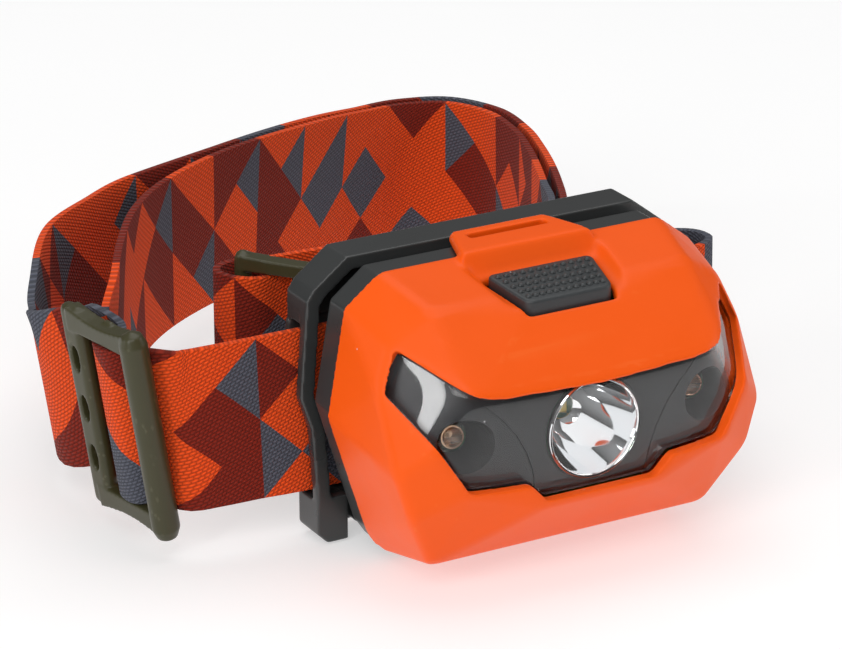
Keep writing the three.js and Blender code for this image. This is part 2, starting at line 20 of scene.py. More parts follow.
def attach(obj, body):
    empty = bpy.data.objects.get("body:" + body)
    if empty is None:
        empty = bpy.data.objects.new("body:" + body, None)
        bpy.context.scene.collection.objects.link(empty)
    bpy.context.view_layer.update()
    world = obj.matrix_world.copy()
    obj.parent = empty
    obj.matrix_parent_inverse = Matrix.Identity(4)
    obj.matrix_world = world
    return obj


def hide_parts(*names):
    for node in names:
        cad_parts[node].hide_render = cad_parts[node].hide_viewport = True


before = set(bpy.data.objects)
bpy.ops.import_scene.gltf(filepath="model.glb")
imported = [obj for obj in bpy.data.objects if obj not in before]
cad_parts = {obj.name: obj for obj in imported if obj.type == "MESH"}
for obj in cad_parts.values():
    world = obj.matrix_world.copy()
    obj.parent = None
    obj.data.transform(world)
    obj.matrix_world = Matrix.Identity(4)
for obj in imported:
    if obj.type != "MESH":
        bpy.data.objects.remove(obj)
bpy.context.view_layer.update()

LOG = logging.getLogger("headlamp")

MM = 0.001
HOUSING_TO_ROW = Matrix.Translation((0.0, -0.0045, 0.020)) @ Matrix.Scale(MM, 4)

Point = tuple[float, float, float]
Flat = tuple[float, float]
Corner = tuple[float, float, float]


class Body(Enum):
    """The moving bodies of the lamp."""

    HEADBAND = "headband"
    REAR = "rear_housing"
    FRONT = "front_housing"
    BUTTON = "button"


class Axis(Enum):
    """A direction that a round bar can lie along, as its turn from +z."""

    X = Matrix.Rotation(math.radians(90), 3, "Y")
    Y = Matrix.Rotation(math.radians(-90), 3, "X")
    Z = Matrix.Identity(3)


# ---------------------------------------------------------------------------- outlines


def mirrored(half: Sequence[tuple[float, ...]]) -> list[tuple[float, ...]]:
    """Closes a right-hand half outline with its mirror image in x.

    Args:
        half: corners from the top of the middle line round to its bottom, x first.

    Returns:
        The whole outline; whatever follows x in each corner is kept.
    """
    left = [(-corner[0], *corner[1:]) for corner in reversed(half) if corner[0] > 0]
    return [*half, *left]


def rounded(corners: Sequence[Corner], steps: int = 6) -> list[Flat]:
    """Rounds the corners of a flat outline.

    Args:
        corners: x, z and the corner's radius, in order round the outline.
        steps: chords in each rounded corner.

    Returns:
        The outline's points in the same order.
    """
    points: list[Flat] = []
    for index, (x, z, radius) in enumerate(corners):
        here = Vector((x, z))
        if radius <= 0:
            points.append((x, z))
            continue
        back = (Vector(corners[index - 1][:2]) - here).normalized()
        ahead = (Vector(corners[(index + 1) % len(corners)][:2]) - here).normalized()
        half_angle = back.angle(ahead) / 2
        centre = here + (back + ahead).normalized() * radius / math.sin(half_angle)
        reach = radius / math.tan(half_angle)
        start = (here + back * reach - centre).normalized()
        end = (here + ahead * reach - centre).normalized()
        for step in range(steps + 1):
            point = centre + start.slerp(end, step / steps) * radius
            points.append((point.x, point.y))
    return points


def inset(outline: Sequence[Flat], distance: float) -> list[Flat]:
    """Moves every side of an outline inwards.

    Args:
        outline: corners of a closed outline, clockwise seen from the front.
        distance: how far the sides move; a negative distance moves them outwards.

    Returns:
        The moved corners.
    """
    moved: list[Flat] = []
    for index, corner in enumerate(outline):
        here = Vector(corner)
        before = (here - Vector(outline[index - 1])).normalized()
        after = (Vector(outline[(index + 1) % len(outline)]) - here).normalized()
        normal_before = Vector((before.y, -before.x))
        normal_after = Vector((after.y, -after.x))
        middle = normal_before + normal_after
        point = here + middle * distance / (1 + normal_before.dot(normal_after))
        moved.append((point.x, point.y))
    return moved


# ---------------------------------------------------------------------------- solids


class Workpiece:
    """A closed solid being shaped, in millimetres on the housing axes."""

    def __init__(self, shape: bmesh.types.BMesh) -> None:
        """Takes over a bmesh.

        Args:
            shape: the starting shape, which is freed here.
        """
        mesh = bpy.data.meshes.new("blank")
        bmesh.ops.recalc_face_normals(shape, faces=shape.faces)
        shape.to_mesh(mesh)
        shape.free()
        self.object = bpy.data.objects.new("blank", mesh)
        bpy.context.scene.collection.objects.link(self.object)

    def _apply(self, kind: str, **settings: Any) -> "Workpiece":
        """Puts one modifier on the solid and makes its result the new mesh.

        Args:
            kind: the modifier's type.
            settings: its settings by name.

        Returns:
            The same workpiece.
        """
        modifier = self.object.modifiers.new(kind, kind)
        for key, value in settings.items():
            setattr(modifier, key, value)
        graph = bpy.context.evaluated_depsgraph_get()
        graph.update()
        result = bpy.data.meshes.new_from_object(self.object.evaluated_get(graph))
        self.object.modifiers.clear()
        old = self.object.data
        self.object.data = result
        bpy.data.meshes.remove(old)
        return self

    def _combine(self, others: Sequence["Workpiece"], operation: str) -> "Workpiece":
        """Joins, cuts or intersects with other solids, which are used up."""
        for other in others:
            self._apply("BOOLEAN", object=other.object, operation=operation, solver="EXACT")
            other.discard()
        return self

    def join(self, *others: "Workpiece") -> "Workpiece":
        """Adds other solids to this one."""
        return self._combine(others, "UNION")

    def cut(self, *others: "Workpiece") -> "Workpiece":
        """Takes other solids away from this one."""
        return self._combine(others, "DIFFERENCE")

    def keep(self, *others: "Workpiece") -> "Workpiece":
        """Keeps only what lies inside the other solids."""
        return self._combine(others, "INTERSECT")

    def mould(self, voxel: float, smoothing: int = 4) -> "Workpiece":
        """Rebuilds the surface evenly and softens its edges, as a moulded part's are.

        Args:
            voxel: size of the new faces.
            smoothing: how often the surface is relaxed.

        Returns:
            The same workpiece.
        """
        self._apply("REMESH", mode="VOXEL", voxel_size=voxel, adaptivity=0.0)
        return self._apply("SMOOTH", factor=0.5, iterations=smoothing)

    def thin(self, triangles: int) -> "Workpiece":
        """Merges faces where the surface is flat, down to a number of triangles.

        Args:
            triangles: the most that are left.

        Returns:
            The same workpiece.
        """
        now = sum(len(polygon.vertices) - 2 for polygon in self.object.data.polygons)
        if now <= triangles:
            return self
        return self._apply("DECIMATE", decimate_type="COLLAPSE", ratio=triangles / now)

    def reshape(self, change: Callable[[bmesh.types.BMesh], None]) -> "Workpiece":
        """Runs a function on the solid's bmesh.

        Args:
            change: the function, which edits the bmesh in place.

        Returns:
            The same workpiece.
        """
        shape = bmesh.new()
        shape.from_mesh(self.object.data)
        change(shape)
        shape.to_mesh(self.object.data)
        shape.free()
        return self

    def discard(self) -> None:
        """Removes the solid from the scene."""
        mesh = self.object.data
        bpy.data.objects.remove(self.object)
        bpy.data.meshes.remove(mesh)


def hull(points: Sequence[Point], bevel: float = 0.0, segments: int = 4) -> Workpiece:
    """The tightest convex solid round some points.

    Args:
        points: its corners.
        bevel: radius of its edges, or 0 to leave them sharp.
        segments: faces across each rounded edge.

    Returns:
        The solid.
    """
    shape = bmesh.new()
    corners = [shape.verts.new(point) for point in points]
    made = bmesh.ops.convex_hull(shape, input=corners)
    inside = {item for item in made["geom_interior"] if isinstance(item, bmesh.types.BMVert)}
    loose = [vert for vert in shape.verts if vert in inside or not vert.link_faces]
    bmesh.ops.delete(shape, geom=loose, context="VERTS")
    bmesh.ops.dissolve_limit(
        shape, angle_limit=math.radians(1), verts=shape.verts, edges=shape.edges
    )
    if bevel > 0:
        round_edges(shape, shape.edges[:], bevel, segments)
    return Workpiece(shape)


def round_edges(
    shape: bmesh.types.BMesh, edges: Sequence[bmesh.types.BMEdge], radius: float, segments: int
) -> None:
    """Rounds edges of a bmesh in place."""
    bmesh.ops.bevel(
        shape,
        geom=list(edges),
        offset=radius,
        segments=segments,
        profile=0.5,
        affect="EDGES",
        clamp_overlap=True,
        material=-1,
    )


def block(x: Flat, y: Flat, z: Flat, bevel: float = 0.0) -> Workpiece:
    """A box from its lowest and highest x, y and z."""
    return hull([(px, py, pz) for px in x for py in y for pz in z], bevel)


def prism(outline: Sequence[Flat], near: float, far: float) -> Workpiece:
    """An outline in x and z pushed along y.

    Args:
        outline: the outline's points in order.
        near: y of its first end.
        far: y of its other end.

    Returns:
        The solid.
    """
    shape = bmesh.new()
    face = shape.faces.new([shape.verts.new((x, near, z)) for x, z in outline])
    grown = bmesh.ops.extrude_face_region(shape, geom=[face])
    moved = [item for item in grown["geom"] if isinstance(item, bmesh.types.BMVert)]
    bmesh.ops.translate(shape, verts=moved, vec=(0, far - near, 0))
    return Workpiece(shape)


def rod(axis: Axis, radius: float, start: Point, length: float, sides: int = 40) -> Workpiece:
    """A round bar.

    Args:
        axis: the way that it lies.
        radius: its radius.
        start: the middle of its first end.
        length: how far it reaches along the axis.
        sides: faces round it.

    Returns:
        The solid.
    """
    shape = bmesh.new()
    bmesh.ops.create_cone(
        shape, cap_ends=True, segments=sides, radius1=radius, radius2=radius, depth=length
    )
    bmesh.ops.translate(shape, verts=shape.verts, vec=(0, 0, length / 2))
    bmesh.ops.rotate(shape, verts=shape.verts, cent=(0, 0, 0), matrix=axis.value)
    bmesh.ops.translate(shape, verts=shape.verts, vec=start)
    return Workpiece(shape)


def turned(profile: Sequence[Flat], centre: Point, steps: int = 64) -> Workpiece:
    """A profile spun round an axis that points at -y, the way the beam goes.

    Args:
        profile: radius and height forward of the centre, starting and ending on the axis or
            closing on itself.
        centre: the point of the axis that heights are counted from.
        steps: faces round the axis.

    Returns:
        The solid.
    """
    shape = bmesh.new()
    verts = [shape.verts.new((radius, -height, 0)) for radius, height in profile]
    edges = [shape.edges.new(pair) for pair in zip(verts, verts[1:])]
    if profile[0][0] > 0:
        edges.append(shape.edges.new((verts[-1], verts[0])))
    bmesh.ops.spin(
        shape,
        geom=[*verts, *edges],
        cent=(0, 0, 0),
        axis=(0, 1, 0),
        angle=math.tau,
        steps=steps,
        use_merge=True,
    )
    bmesh.ops.remove_doubles(shape, verts=shape.verts, dist=0.001)
    bmesh.ops.translate(shape, verts=shape.verts, vec=centre)
    return Workpiece(shape)


def from_cad(node: str) -> Workpiece:
    """A merged copy of a CAD node, moved back to the housing axes in millimetres.

    Args:
        node: the CAD node's name.

    Returns:
        The copy.
    """
    shape = bmesh.new()
    shape.from_mesh(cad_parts[node].data)
    bmesh.ops.transform(shape, matrix=HOUSING_TO_ROW.inverted(), verts=shape.verts)
    bmesh.ops.remove_doubles(shape, verts=shape.verts, dist=0.002)
    return Workpiece(shape)


def finish_piece(
    work: Workpiece,
    name: str,
    body: Body,
    material: bpy.types.Material,
    nodes: Sequence[str] = (),
    crease: float = 40.0,
) -> bpy.types.Object:
    """Takes a finished solid to the shared frame and fastens it to its body.

    Args:
        work: the solid.
        name: the piece's name.
        body: the body that it rides on.
        material: its finish.
        nodes: CAD nodes that it stands for.
        crease: edges sharper than this many degrees stay sharp.

    Returns:
        The piece.
    """
    piece = work.object
    piece.name = name
    piece.data.name = name
    piece.data.transform(HOUSING_TO_ROW)
    piece.data.polygons.foreach_set("use_smooth", [True] * len(piece.data.polygons))
    piece.data.set_sharp_from_angle(angle=math.radians(crease))
    piece.data.materials.clear()
    piece.data.materials.append(material)
    piece.data.update()
    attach(piece, body.value)
    if nodes:
        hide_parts(*nodes)
    LOG.info("%s: %d faces on %s", name, len(piece.data.polygons), body.value)
    return piece


# ---------------------------------------------------------------------------- node graphs


class Graph:
    """A node tree that is being wired."""

    def __init__(self, tree: bpy.types.NodeTree) -> None:
        """Keeps the tree that new nodes go into."""
        self.tree = tree

    def node(
        self, kind: str, inputs: Mapping[Any, Any] | None = None, **settings: Any
    ) -> bpy.types.Node:
        """Adds a node.

        Args:
            kind: the node's type.
            inputs: values or sockets for its inputs, by name or number.
            settings: its own options.

        Returns:
            The node.
        """
        made = self.tree.nodes.new(kind)
        for key, value in settings.items():
            setattr(made, key, value)
        for key, value in (inputs or {}).items():
            if isinstance(value, bpy.types.NodeSocket):
                self.tree.links.new(value, made.inputs[key])
            else:
                made.inputs[key].default_value = value
        return made

    def math(self, operation: str, *values: Any, clamp: bool = False) -> bpy.types.NodeSocket:
        """Adds a maths node on one to three values and returns its result."""
        inputs = dict(enumerate(values))
        return self.node("ShaderNodeMath", inputs, operation=operation, use_clamp=clamp).outputs[0]

    def noise(self, vector: Any, scale: Any, detail: float = 2.0) -> bpy.types.NodeSocket:
        """Adds a noise texture and returns its value, around 0.5."""
        inputs = {"Vector": vector, "Scale": scale, "Detail": detail, "Roughness": 0.55}
        return self.node("ShaderNodeTexNoise", inputs).outputs["Fac"]

    def span(self, value: Any, low: float, high: float, to_low: float, to_high: float) -> Any:
        """Maps a range of values onto another, held at its ends."""
        inputs = {
            "Value": value,
            "From Min": low,
            "From Max": high,
            "To Min": to_low,
            "To Max": to_high,
        }
        return self.node("ShaderNodeMapRange", inputs, clamp=True).outputs["Result"]

    def mix(self, factor: Any, first: Any, second: Any, blend: str = "MIX") -> Any:
        """Mixes two colours.

        Args:
            factor: share of the second colour, as a value or a socket.
            first: colour or socket.
            second: colour or socket.
            blend: how the second is laid over the first.

        Returns:
            The mixed colour's socket.
        """
        made = self.node("ShaderNodeMix", data_type="RGBA", blend_type=blend)
        for key, value in ((0, factor), (6, first), (7, second)):
            if isinstance(value, bpy.types.NodeSocket):
                self.tree.links.new(value, made.inputs[key])
            else:
                made.inputs[key].default_value = value
        return made.outputs[2]


def new_group(
    name: str, inputs: Mapping[str, tuple[str, Any]], outputs: Mapping[str, str]
) -> tuple[Graph, bpy.types.Node, bpy.types.Node]:
    """Starts a shader node group.

    Args:
        name: the group's name.
        inputs: each input's socket type and default.
        outputs: each output's socket type.

    Returns:
        Its graph, its input node and its output node.
    """
    tree = bpy.data.node_groups.new(name, "ShaderNodeTree")
    for key, (kind, value) in inputs.items():
        tree.interface.new_socket(key, in_out="INPUT", socket_type=kind).default_value = value
    for key, kind in outputs.items():
        tree.interface.new_socket(key, in_out="OUTPUT", socket_type=kind)
    graph = Graph(tree)
    return graph, graph.node("NodeGroupInput"), graph.node("NodeGroupOutput")


def connect(graph: Graph, output: bpy.types.Node, results: Mapping[str, Any]) -> None:
    """Links results to a group's outputs by name."""
    for key, socket in results.items():
        graph.tree.links.new(socket, output.inputs[key])


def moulded_skin_group() -> bpy.types.NodeTree:
    """Builds the surface of a moulded part: fine grain, broad variation and worn edges.

    Returns:
        The node group.
    """
    inputs = {
        "Colour": ("NodeSocketColor", (0.5, 0.5, 0.5, 1.0)),
        "Worn Colour": ("NodeSocketColor", (0.7, 0.7, 0.7, 1.0)),
        "Roughness": ("NodeSocketFloat", 0.4),
        "Grain Scale": ("NodeSocketFloat", 2500.0),
        "Grain Depth": ("NodeSocketFloat", 0.1),
        "Wear": ("NodeSocketFloat", 0.2),
        "Mottle": ("NodeSocketFloat", 0.06),
    }
    outputs = {
        "Colour": "NodeSocketColor",
        "Roughness": "NodeSocketFloat",
        "Normal": "NodeSocketVector",
    }
    graph, given, result = new_group("moulded_skin", inputs, outputs)
    where = graph.node("ShaderNodeTexCoord").outputs["Object"]
    broad = graph.noise(where, 110.0, 3.0)
    grain = graph.noise(where, given.outputs["Grain Scale"], 2.0)
    swing = graph.math("MULTIPLY", graph.math("SUBTRACT", broad, 0.5), given.outputs["Mottle"])
    shade = graph.math("MULTIPLY_ADD", swing, 2.0, 1.0)
    tinted = graph.mix(1.0, given.outputs["Colour"], shade, "MULTIPLY")
    edge = graph.span(graph.node("ShaderNodeNewGeometry").outputs["Pointiness"], 0.52, 0.62, 0.0, 1.0)
    scuffed = graph.math("MULTIPLY", edge, graph.span(broad, 0.4, 0.62, 0.25, 1.0))
    worn = graph.math("MULTIPLY", scuffed, given.outputs["Wear"], clamp=True)
    colour = graph.mix(worn, tinted, given.outputs["Worn Colour"])
    rough = graph.math("MULTIPLY_ADD", graph.math("SUBTRACT", broad, 0.5), 0.22, given.outputs["Roughness"])
    bump = graph.node(
        "ShaderNodeBump",
        {"Strength": given.outputs["Grain Depth"], "Distance": 0.00008, "Height": grain},
    )
    connect(graph, result, {"Colour": colour, "Roughness": rough, "Normal": bump.outputs["Normal"]})
    return graph.tree


def dust_group() -> bpy.types.NodeTree:
    """Builds sparse pale specks of dust, as a mask.

    Returns:
        The node group.
    """
    inputs = {
        "Scale": ("NodeSocketFloat", 420.0),
        "Rarity": ("NodeSocketFloat", 0.86),
    }
    graph, given, result = new_group("dust_specks", inputs, {"Mask": "NodeSocketFloat"})
    where = graph.node("ShaderNodeTexCoord").outputs["Object"]
    cells = graph.node(
        "ShaderNodeTexVoronoi", {"Vector": where, "Scale": given.outputs["Scale"]}, feature="F1"
    )
    chosen = graph.math(
        "GREATER_THAN",
        graph.node("ShaderNodeSeparateColor", {0: cells.outputs["Color"]}).outputs[0],
        given.outputs["Rarity"],
    )
    speck = graph.span(cells.outputs["Distance"], 0.03, 0.07, 1.0, 0.0)
    connect(graph, result, {"Mask": graph.math("MULTIPLY", chosen, speck)})
    return graph.tree


def woven_print_group() -> bpy.types.NodeTree:
    """Builds the webbing's printed triangles and its ribbed weave from the strap's own map.

    The map's first value counts strap widths along the webbing and its second runs from 0 to 1
    across it. The weave's relief is also painted into the colour: painted shade in the grooves
    between ribs and stitches, and a slight painted highlight on the thread tops.

    Returns:
        The node group.
    """
    inputs = {
        "Orange": ("NodeSocketColor", (0.8, 0.1, 0.02, 1.0)),
        "Dark Red": ("NodeSocketColor", (0.19, 0.02, 0.01, 1.0)),
        "Slate": ("NodeSocketColor", (0.05, 0.06, 0.08, 1.0)),
        "Rows": ("NodeSocketFloat", 46.0),
        "Stitches": ("NodeSocketFloat", 31.0),
        "Slant": ("NodeSocketFloat", 0.4),
    }
    outputs = {"Colour": "NodeSocketColor", "Height": "NodeSocketFloat", "Thread": "NodeSocketFloat"}
    graph, given, result = new_group("woven_print", inputs, outputs)
    placed = graph.node("ShaderNodeUVMap", uv_map="weave").outputs["UV"]
    split = graph.node("ShaderNodeSeparateXYZ", {0: placed})
    along, across = split.outputs[0], split.outputs[1]

    falling = graph.math("FLOOR", graph.math("MULTIPLY", graph.math("ADD", along, across), 2.0))
    rising = graph.math("FLOOR", graph.math("MULTIPLY", graph.math("SUBTRACT", along, across), 2.0))
    upright = graph.math("FLOOR", graph.math("MULTIPLY", along, 2.0))
    tile = graph.node("ShaderNodeCombineXYZ", {0: falling, 1: rising, 2: upright}).outputs[0]
    pick = graph.node("ShaderNodeTexWhiteNoise", {"Vector": tile}).outputs["Value"]
    slate_or_red = graph.mix(
        graph.math("GREATER_THAN", pick, 0.8), given.outputs["Dark Red"], given.outputs["Slate"]
    )
    printed = graph.mix(
        graph.math("GREATER_THAN", pick, 0.38), given.outputs["Orange"], slate_or_red
    )

    slanted = graph.math("MULTIPLY_ADD", along, given.outputs["Slant"], across)
    row = graph.math("MULTIPLY", slanted, given.outputs["Rows"])
    offset = graph.math("MULTIPLY", graph.math("FLOOR", row), 0.38)
    stitch = graph.math("ADD", graph.math("MULTIPLY", along, given.outputs["Stitches"]), offset)
    rib = graph.math("SINE", graph.math("MULTIPLY", graph.math("FRACT", row), math.pi))
    bead = graph.math("SINE", graph.math("MULTIPLY", graph.math("FRACT", stitch), math.pi))
    height = graph.math("MULTIPLY", rib, graph.math("POWER", bead, 0.6))
    fibre = graph.noise(graph.node("ShaderNodeTexCoord").outputs["Object"], 5200.0, 3.0)
    thread = graph.math("MULTIPLY", height, graph.span(fibre, 0.3, 0.7, 0.75, 1.0))
    # painted shade and highlight: the colour is multiplied by 0.5 in the grooves between ribs and stitches,
    # rising to 1.14 on the thread tops
    shade = graph.span(thread, 0.0, 0.9, 0.5, 1.14)
    colour = graph.mix(1.0, printed, shade, "MULTIPLY")
    connect(graph, result, {"Colour": colour, "Height": height, "Thread": thread})
    return graph.tree


MOULDED_SKIN = moulded_skin_group()
DUST = dust_group()
WOVEN_PRINT = woven_print_group()


def new_material(name: str) -> tuple[bpy.types.Material, Graph, bpy.types.Node]:
    """Starts a material.

    Args:
        name: the material's name.

    Returns:
        The material, its graph and its Principled node.
    """
    material = bpy.data.materials.new(name)
    material.use_nodes = True
    graph = Graph(material.node_tree)
    return material, graph, material.node_tree.nodes["Principled BSDF"]


@dataclass(frozen=True)
class MouldedFinish:
    """The finish of a moulded plastic or rubber part."""

    name: str
    colour: tuple[float, float, float]
    worn: tuple[float, float, float]
    roughness: float
    grain_scale: float = 2500.0
    grain_depth: float = 0.1
    wear: float = 0.2
    mottle: float = 0.06
    specular: float = 0.5
    dust: float = 1.0

    def material(self) -> bpy.types.Material:
        """Builds the finish as a material.

        Returns:
            The material.
        """
        made, graph, surface = new_material(self.name)
        skin = graph.node("ShaderNodeGroup", node_tree=MOULDED_SKIN)
        for key, value in {
            "Colour": (*self.colour, 1.0),
            "Worn Colour": (*self.worn, 1.0),
            "Roughness": self.roughness,
            "Grain Scale": self.grain_scale,
            "Grain Depth": self.grain_depth,
            "Wear": self.wear,
            "Mottle": self.mottle,
        }.items():
            skin.inputs[key].default_value = value
        specks = graph.node("ShaderNodeGroup", node_tree=DUST)
        specks.inputs["Rarity"].default_value = self.dust
        colour = graph.mix(specks.outputs["Mask"], skin.outputs["Colour"], (0.55, 0.55, 0.55, 1.0))
        links = made.node_tree.links
        links.new(colour, surface.inputs["Base Color"])
        links.new(skin.outputs["Roughness"], surface.inputs["Roughness"])
        links.new(skin.outputs["Normal"], surface.inputs["Normal"])
        surface.inputs["Specular IOR Level"].default_value = self.specular
        return made


@dataclass(frozen=True)
class ClearFinish:
    """Clear moulded plastic that lets shadow rays through, so that what is behind it is lit."""

    name: str
    tint: tuple[float, float, float] = (1.0, 1.0, 1.0)
    roughness: float = 0.02
    ior: float = 1.36

    def material(self) -> bpy.types.Material:
        """Builds the finish as a material.

        Returns:
            The material.
        """
        made, graph, surface = new_material(self.name)
        surface.inputs["Base Color"].default_value = (*self.tint, 1.0)
        surface.inputs["Roughness"].default_value = self.roughness
        surface.inputs["IOR"].default_value = self.ior
        surface.inputs["Transmission Weight"].default_value = 1.0
        where = graph.node("ShaderNodeTexCoord").outputs["Object"]
        smear = graph.noise(where, 60.0, 3.0)
        rough = graph.span(smear, 0.45, 0.75, self.roughness, self.roughness + 0.05)
        made.node_tree.links.new(rough, surface.inputs["Roughness"])
        passing = graph.node("ShaderNodeBsdfTransparent", {"Color": (*self.tint, 1.0)})
        rays = graph.node("ShaderNodeLightPath")
        mixed = graph.node("ShaderNodeMixShader", {0: rays.outputs["Is Shadow Ray"]})
        links = made.node_tree.links
        links.new(surface.outputs[0], mixed.inputs[1])
        links.new(passing.outputs[0], mixed.inputs[2])
        links.new(mixed.outputs[0], made.node_tree.nodes["Material Output"].inputs["Surface"])
        return made


@dataclass(frozen=True)
class MetalFinish:
    """Bare, plated or metallised metal with fine lines left by drawing or polishing."""

    name: str
    colour: tuple[float, float, float]
    roughness: float
    lines: tuple[float, float, float] = (200.0, 200.0, 4000.0)
    depth: float = 0.05

    def material(self) -> bpy.types.Material:
        """Builds the finish as a material.

        Returns:
            The material.
        """
        made, graph, surface = new_material(self.name)
        surface.inputs["Base Color"].default_value = (*self.colour, 1.0)
        surface.inputs["Metallic"].default_value = 1.0
        where = graph.node("ShaderNodeTexCoord").outputs["Object"]
        stretched = graph.node("ShaderNodeMapping", {"Vector": where, "Scale": self.lines}).outputs[0]
        scratch = graph.noise(stretched, 1.0, 4.0)
        rough = graph.span(scratch, 0.3, 0.7, self.roughness * 0.7, self.roughness * 1.4)
        bump = graph.node(
            "ShaderNodeBump", {"Strength": self.depth, "Distance": 0.00004, "Height": scratch}
        )
        made.node_tree.links.new(rough, surface.inputs["Roughness"])
        made.node_tree.links.new(bump.outputs["Normal"], surface.inputs["Normal"])
        return made


@dataclass(frozen=True)
class WebbingFinish:
    """Elastic webbing printed with triangles in three colours, with painted shade in the weave's grooves and
    a slight painted highlight on the thread tops.
    """

    name: str = "webbing"
    orange: tuple[float, float, float] = (0.9, 0.085, 0.009)
    dark_red: tuple[float, float, float] = (0.24, 0.017, 0.006)
    slate: tuple[float, float, float] = (0.1, 0.106, 0.135)
    rows: float = 46.0
    stitches: float = 31.0

    def material(self) -> bpy.types.Material:
        """Builds the finish as a material.

        Returns:
            The material.
        """
        made, graph, surface = new_material(self.name)
        cloth = graph.node("ShaderNodeGroup", node_tree=WOVEN_PRINT)
        cloth.inputs["Orange"].default_value = (*self.orange, 1.0)
        cloth.inputs["Dark Red"].default_value = (*self.dark_red, 1.0)
        cloth.inputs["Slate"].default_value = (*self.slate, 1.0)
        cloth.inputs["Rows"].default_value = self.rows
        cloth.inputs["Stitches"].default_value = self.stitches
        bump = graph.node(
            "ShaderNodeBump",
            {"Strength": 0.8, "Distance": 0.00022, "Height": cloth.outputs["Height"]},
        )
        rough = graph.span(cloth.outputs["Thread"], 0.0, 1.0, 0.95, 0.72)
        links = made.node_tree.links
        links.new(cloth.outputs["Colour"], surface.inputs["Base Color"])
        links.new(rough, surface.inputs["Roughness"])
        links.new(bump.outputs["Normal"], surface.inputs["Normal"])
        surface.inputs["Sheen Weight"].default_value = 0.06
        surface.inputs["Sheen Roughness"].default_value = 0.5
        surface.inputs["Specular IOR Level"].default_value = 0.15
        return made


@dataclass(frozen=True)
class CellFinish:
    """A battery's printed can: a dark band, a pale band and bare metal at the ends."""

    name: str = "cell_wrap"
    wrap: tuple[float, float, float] = (0.03, 0.09, 0.16)
    band: tuple[float, float, float] = (0.62, 0.36, 0.08)
    half_length: float = 0.0213

    def material(self) -> bpy.types.Material:
        """Builds the finish as a material.

        Returns:
            The material.
        """
        made, graph, surface = new_material(self.name)
        where = graph.node("ShaderNodeTexCoord").outputs["Object"]
        x = graph.node("ShaderNodeSeparateXYZ", {0: where}).outputs[0]
        end = graph.math("GREATER_THAN", graph.math("ABSOLUTE", x), self.half_length)
        gold = graph.math("GREATER_THAN", x, 0.008)
        coat = graph.mix(gold, (*self.wrap, 1.0), (*self.band, 1.0))
        colour = graph.mix(end, coat, (0.6, 0.6, 0.6, 1.0))
        links = made.node_tree.links
        links.new(colour, surface.inputs["Base Color"])
        links.new(end, surface.inputs["Metallic"])
        links.new(graph.span(graph.noise(where, 300.0), 0.3, 0.7, 0.22, 0.38), surface.inputs["Roughness"])
        return made


@dataclass(frozen=True)
class BoardFinish:
    """Green solder mask over copper tracks."""

    name: str = "board_green"
    mask: tuple[float, float, float] = (0.012, 0.12, 0.045)
    copper: tuple[float, float, float] = (0.03, 0.24, 0.09)

    def material(self) -> bpy.types.Material:
        """Builds the finish as a material.

        Returns:
            The material.
        """
        made, graph, surface = new_material(self.name)
        where = graph.node("ShaderNodeTexCoord").outputs["Object"]
        cells = graph.node(
            "ShaderNodeTexVoronoi", {"Vector": where, "Scale": 260.0}, distance="MANHATTAN"
        )
        track = graph.span(cells.outputs["Distance"], 0.36, 0.4, 0.0, 1.0)
        colour = graph.mix(track, (*self.mask, 1.0), (*self.copper, 1.0))
        bump = graph.node("ShaderNodeBump", {"Strength": 0.4, "Distance": 0.00005, "Height": track})
        made.node_tree.links.new(colour, surface.inputs["Base Color"])
        made.node_tree.links.new(bump.outputs["Normal"], surface.inputs["Normal"])
        surface.inputs["Roughness"].default_value = 0.35
        return made


@dataclass(frozen=True)
class Palette:
    """Every finish on the lamp, built once."""

    orange: bpy.types.Material = field(
        default_factory=MouldedFinish(
            "orange_shell", (0.93, 0.104, 0.004), (0.95, 0.17, 0.03), 0.4, specular=0.18,
            grain_scale=3200.0, grain_depth=0.05, wear=0.25, mottle=0.03, dust=0.97,
        ).material
    )
    grey: bpy.types.Material = field(
        default_factory=MouldedFinish(
            "grey_shell", (0.032, 0.034, 0.034), (0.2, 0.2, 0.195), 0.3,
            grain_scale=3000.0, grain_depth=0.08, wear=0.45, mottle=0.08, dust=0.95,
        ).material
    )
    panel: bpy.types.Material = field(
        default_factory=MouldedFinish(
            "panel_grey", (0.021, 0.0215, 0.0235), (0.1, 0.1, 0.1), 0.42, specular=0.3,
            grain_scale=2600.0, grain_depth=0.05, wear=0.1, dust=0.93,
        ).material
    )
    rubber: bpy.types.Material = field(
        default_factory=MouldedFinish(
            "rubber_grey", (0.03, 0.034, 0.036), (0.1, 0.1, 0.1), 0.45,
            grain_scale=3600.0, grain_depth=0.2, wear=0.25, dust=0.93,
        ).material
    )
    olive: bpy.types.Material = field(
        default_factory=MouldedFinish(
            "olive", (0.046, 0.043, 0.017), (0.14, 0.135, 0.08), 0.36, specular=0.38,
            grain_scale=2800.0, grain_depth=0.1, wear=0.35, mottle=0.1, dust=0.95,
        ).material
    )
    clear: bpy.types.Material = field(default_factory=ClearFinish("clear").material)
    led_resin: bpy.types.Material = field(
        default_factory=ClearFinish("led_resin", (1.0, 0.99, 0.97), 0.04, 1.5).material
    )
    chrome: bpy.types.Material = field(
        default_factory=MetalFinish("chrome", (0.92, 0.93, 0.94), 0.05, depth=0.02).material
    )
    steel: bpy.types.Material = field(
        default_factory=MetalFinish("steel", (0.62, 0.62, 0.61), 0.28).material
    )
    lead_frame: bpy.types.Material = field(
        default_factory=MetalFinish("lead_frame", (0.72, 0.5, 0.34), 0.3).material
    )
    emitter: bpy.types.Material = field(
        default_factory=MouldedFinish(
            "emitter", (0.85, 0.62, 0.05), (0.9, 0.7, 0.2), 0.5, wear=0.1
        ).material
    )
    board: bpy.types.Material = field(default_factory=BoardFinish().material)
    cell: bpy.types.Material = field(default_factory=CellFinish().material)
    webbing: bpy.types.Material = field(default_factory=WebbingFinish().material)


# ---------------------------------------------------------------------------- front housing


